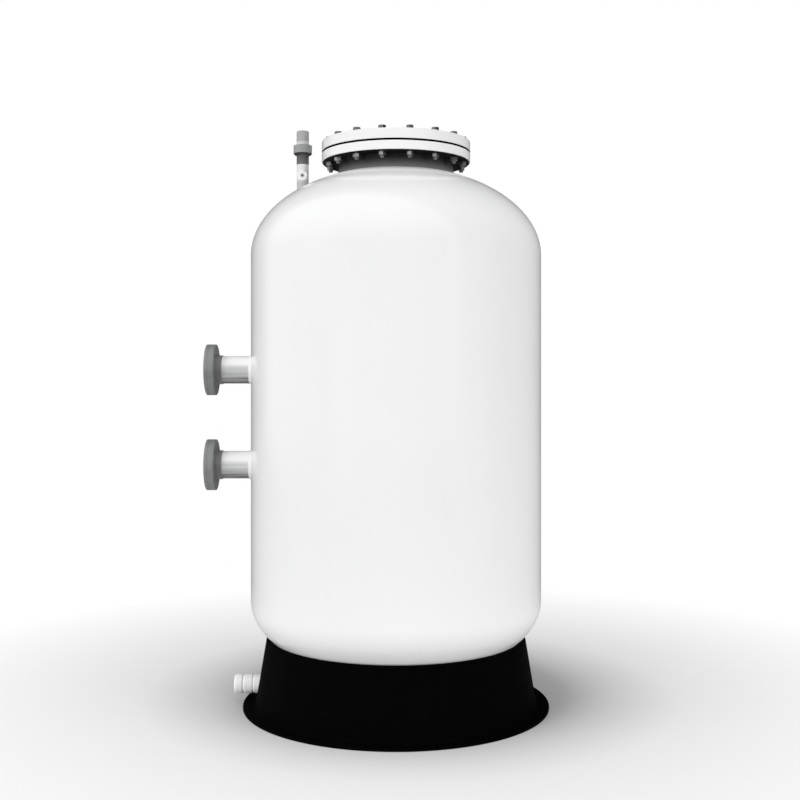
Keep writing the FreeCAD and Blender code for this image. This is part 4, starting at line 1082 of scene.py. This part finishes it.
# Drain
# White moulded fitting that comes out of the skirt with two smooth rings, closed by a screwed cap with a
# rubber disc in it. Inside the skirt its pipe comes from a boss under the dish.
spigot_end = -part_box("drain_body")[0].x
cap_low, cap_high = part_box("drain_cap")
face = skirt_radius(drain_z)
flange_back = face - 6 * MM
thread_back = face - 14 * MM
first_end = face + 17.5 * MM
second = first_end + 6 * MM
second_end = second + 29 * MM
cap_inset, cap_short = 4 * MM, 3.5 * MM
cap_start, cap_end = -cap_high.x - cap_inset, -cap_low.x - cap_short
cap_floor = cap_end - 6 * MM
ring_radius = 34 * MM
groove_radius = 31.2 * MM
drain_bore = 21 * MM
spigot_radius = 28.6 * MM
cap_bore = 29.05 * MM
ring_round = 2 * MM
drain_shell = turned("drain_rings", rounded([
    (drain_bore, thread_back),
    (drain_back_radius, thread_back),
    (drain_back_radius, flange_back),
    (ring_radius, flange_back),
    (ring_radius, first_end - 1 * MM, ring_round),
    (groove_radius, first_end + 2 * MM, ring_round),
    (groove_radius, second - 2 * MM, ring_round),
    (ring_radius, second + 1 * MM, ring_round),
    (ring_radius, second_end - 1 * MM, ring_round),
    (groove_radius, second_end + 2 * MM, ring_round),
    (groove_radius, cap_start - fit),
    (spigot_radius, cap_start - fit),
    (spigot_radius, spigot_end),
    (drain_bore, spigot_end),
]), white_plastic, place=sideways(drain_z))
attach(drain_shell, "filter")
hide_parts("drain_body")
drain_cap = turned("drain_end_cap", rounded([
    (0.0, cap_floor),
    (cap_bore, cap_floor),
    (cap_bore, cap_start),
    (groove_radius, cap_start),
    (ring_radius, cap_start + 3 * MM, ring_round),
    (ring_radius, cap_end - 1 * MM, 9 * MM),
    (12 * MM, cap_end),
    (0.0, cap_end),
]), white_plastic, ends_meet=False, place=sideways(drain_z))
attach(drain_cap, "drain_cap")
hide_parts("drain_cap")
under_boss = 31 * MM
sunk = 2 * MM
outlet_boss = turned("outlet_boss", [
    (drain_opening, dish_bottom),
    (under_boss, dish_bottom),
    (under_boss, dish_z(under_boss) + sunk),
    (drain_opening, dish_z(drain_opening) + sunk),
], white_gelcoat, 96)
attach(outlet_boss, "filter")


# Inside pieces
# Pipes, elbows, laterals, saddles, valve parts and the filter bed keep the frame's own solids. They are
# moulded or extruded plastic, rubber cords, and loose washed quartz.
def loose_bed(name, dark, light, size):
    """Bed of loose stones or grains."""
    material, bench, shader, place = finish_of(name, Specular_IOR_Level=0.25)
    stones = bench.add("ShaderNodeTexVoronoi", None, {"Vector": place, "Scale": 1 / size}, out=None)
    shade = Strand(bench.tree, stones.outputs["Distance"])
    bench.feed(shader, "Base Color", tint(bench, grain(bench, place, 0.4 / size, 3.0), dark, light))
    bench.feed(shader, "Roughness", 0.75 + 0.15 * grain(bench, place, 20.0))
    relief(bench, shader, [(1 - shade, size * 0.4)])
    return material


inner_finishes = {
    "inner_pvc": grey_mould("inner_pvc", (0.27, 0.275, 0.28, 1), (0.32, 0.325, 0.33, 1)),
    "float_plastic": grey_mould("float_plastic", (0.68, 0.68, 0.65, 1), (0.74, 0.74, 0.71, 1)),
    "gravel": loose_bed("gravel", (0.25, 0.21, 0.16, 1), (0.4, 0.34, 0.27, 1), 0.006),
    "sand": loose_bed("sand", (0.5, 0.42, 0.29, 1), (0.6, 0.51, 0.37, 1), 0.0015),
    "grey_pvc": grey_pvc,
    "white_plastic": white_plastic,
    "black_rubber": black_rubber,
    "dark_plastic": screw_plastic,
}
for row in frame["record"]["subparts"]:
    node = frame["nodes"][row["node"]]
    if node.hide_render:
        continue
    for slot in node.material_slots:
        slot.material = inner_finishes[row["material_slot"]]


# Floor and studio
# A pale floor with a grey shadow painted round the filter, centred a little to the right and back. It fades
# to white at a distance, and darkens there for everything but the camera, as a white board on a dark floor
# does.
# The lamps are large and soft.
floor_mesh = bpy.data.meshes.new("studio_floor")
reach = 14.0
corners = [(-reach, -reach, 0), (reach, -reach, 0), (reach, reach, 0), (-reach, reach, 0)]
floor_mesh.from_pydata(corners, [], [(0, 1, 2, 3)])
floor = bpy.data.objects.new("studio_floor", floor_mesh)
bpy.context.scene.collection.objects.link(floor)
floor_paint, bench, shader, place = finish_of("floor_paint", Roughness=0.9, Specular_IOR_Level=0.0)
shadow_x, shadow_y, shadow_width = 0.05, 0.17, 0.45
white_from, white_width = 0.6, 1.6
dark_from, dark_width = 1.1, 1.4
spot = parts_of(bench, place)
east = spot[0] - shadow_x
north = spot[1] - shadow_y
distance = (east * east + north * north).power(0.5)
# grey close to the foot: painted shadow of the filter
out_of_shadow = ((distance - foot_radius) / shadow_width).held()
bench.feed(shader, "Base Color", tint(bench, out_of_shadow, grey(0.5), grey(0.77)))
seen = bench.add("ShaderNodeLightPath", out="Is Camera Ray")
to_white = ((distance - white_from) / white_width).held().power(0.8) * seen
to_dark = ((distance - dark_from) / dark_width).held() * (1 - seen)
beyond = bench.add("ShaderNodeEmission", sockets={"Color": grey(1.0), "Strength": seen * 0.9 + 0.1})
blend = bench.add("ShaderNodeMixShader",
                  sockets={0: to_white + to_dark, 1: Strand(bench.tree, shader.outputs[0]), 2: beyond})
leaving = [n for n in bench.tree.nodes if n.type == "OUTPUT_MATERIAL"][0]
bench.feed(leaving, "Surface", blend)
floor_mesh.materials.append(floor_paint)

world = bpy.data.worlds.new("studio")
bpy.context.scene.world = world
world.use_nodes = True
bench = Bench(world.node_tree)
bench.tree.nodes.clear()
# what shines in the gloss is a pale room whose right and back walls are unlit
ambient = 0.61
unlit = 0.06
corner = math.radians(49)
right_edge, back_edge = 20, 5
east, north = parts_of(bench, bench.add("ShaderNodeTexCoord", out="Generated"))[:2]
right_wall = ((east * math.cos(corner) + north * math.sin(corner)) * right_edge + 0.5).held()
back_wall = ((north - 0.5) * back_edge + 0.5).held()
lit_walls = 1 - right_wall.at_least(back_wall) * (1 - unlit)
paths = bench.add("ShaderNodeLightPath", out=None)
seen = Strand(bench.tree, paths.outputs["Is Camera Ray"])
mirrored = Strand(bench.tree, paths.outputs["Is Glossy Ray"])
through = Strand(bench.tree, paths.outputs["Is Transmission Ray"])
strength = ambient + (seen + through).at_most(1.0) * (1 - ambient) + mirrored * (lit_walls - ambient)
backdrop = bench.add("ShaderNodeBackground", sockets={"Color": grey(1.0), "Strength": strength})
bench.add("ShaderNodeOutputWorld", sockets={"Surface": backdrop}, out=None)


def lamp(name, place, target, size, watts):
    """Square soft lamp that faces a point. What shines in the gloss is the room, not the lamp."""
    data = bpy.data.lights.new(name, "AREA")
    data.size = size
    data.energy = watts
    light = bpy.data.objects.new(name, data)
    light.location = place
    light.visible_glossy = False
    aim = np.array(target) - np.array(place)
    flat_reach = math.hypot(aim[0], aim[1])
    light.rotation_euler = (math.atan2(flat_reach, -aim[2]), 0, math.atan2(aim[1], aim[0]) - math.pi / 2)
    bpy.context.scene.collection.objects.link(light)


lamp("key_lamp", (-4.2, -2.4, 3.0), (0, 0, 0.9), 2.4, 59)
lamp("top_lamp", (-0.5, -0.6, 5.2), (0, 0, 1.0), 2.4, 22)
lamp("left_fill", (-3.5, -4.5, 0.95), (0, 0, 1.1), 1.8, 94)
lamp("right_fill", (4.5, -3.0, 1.6), (0, 0, 1.1), 3.0, 130)

bpy.context.scene.view_settings.view_transform = "Standard"
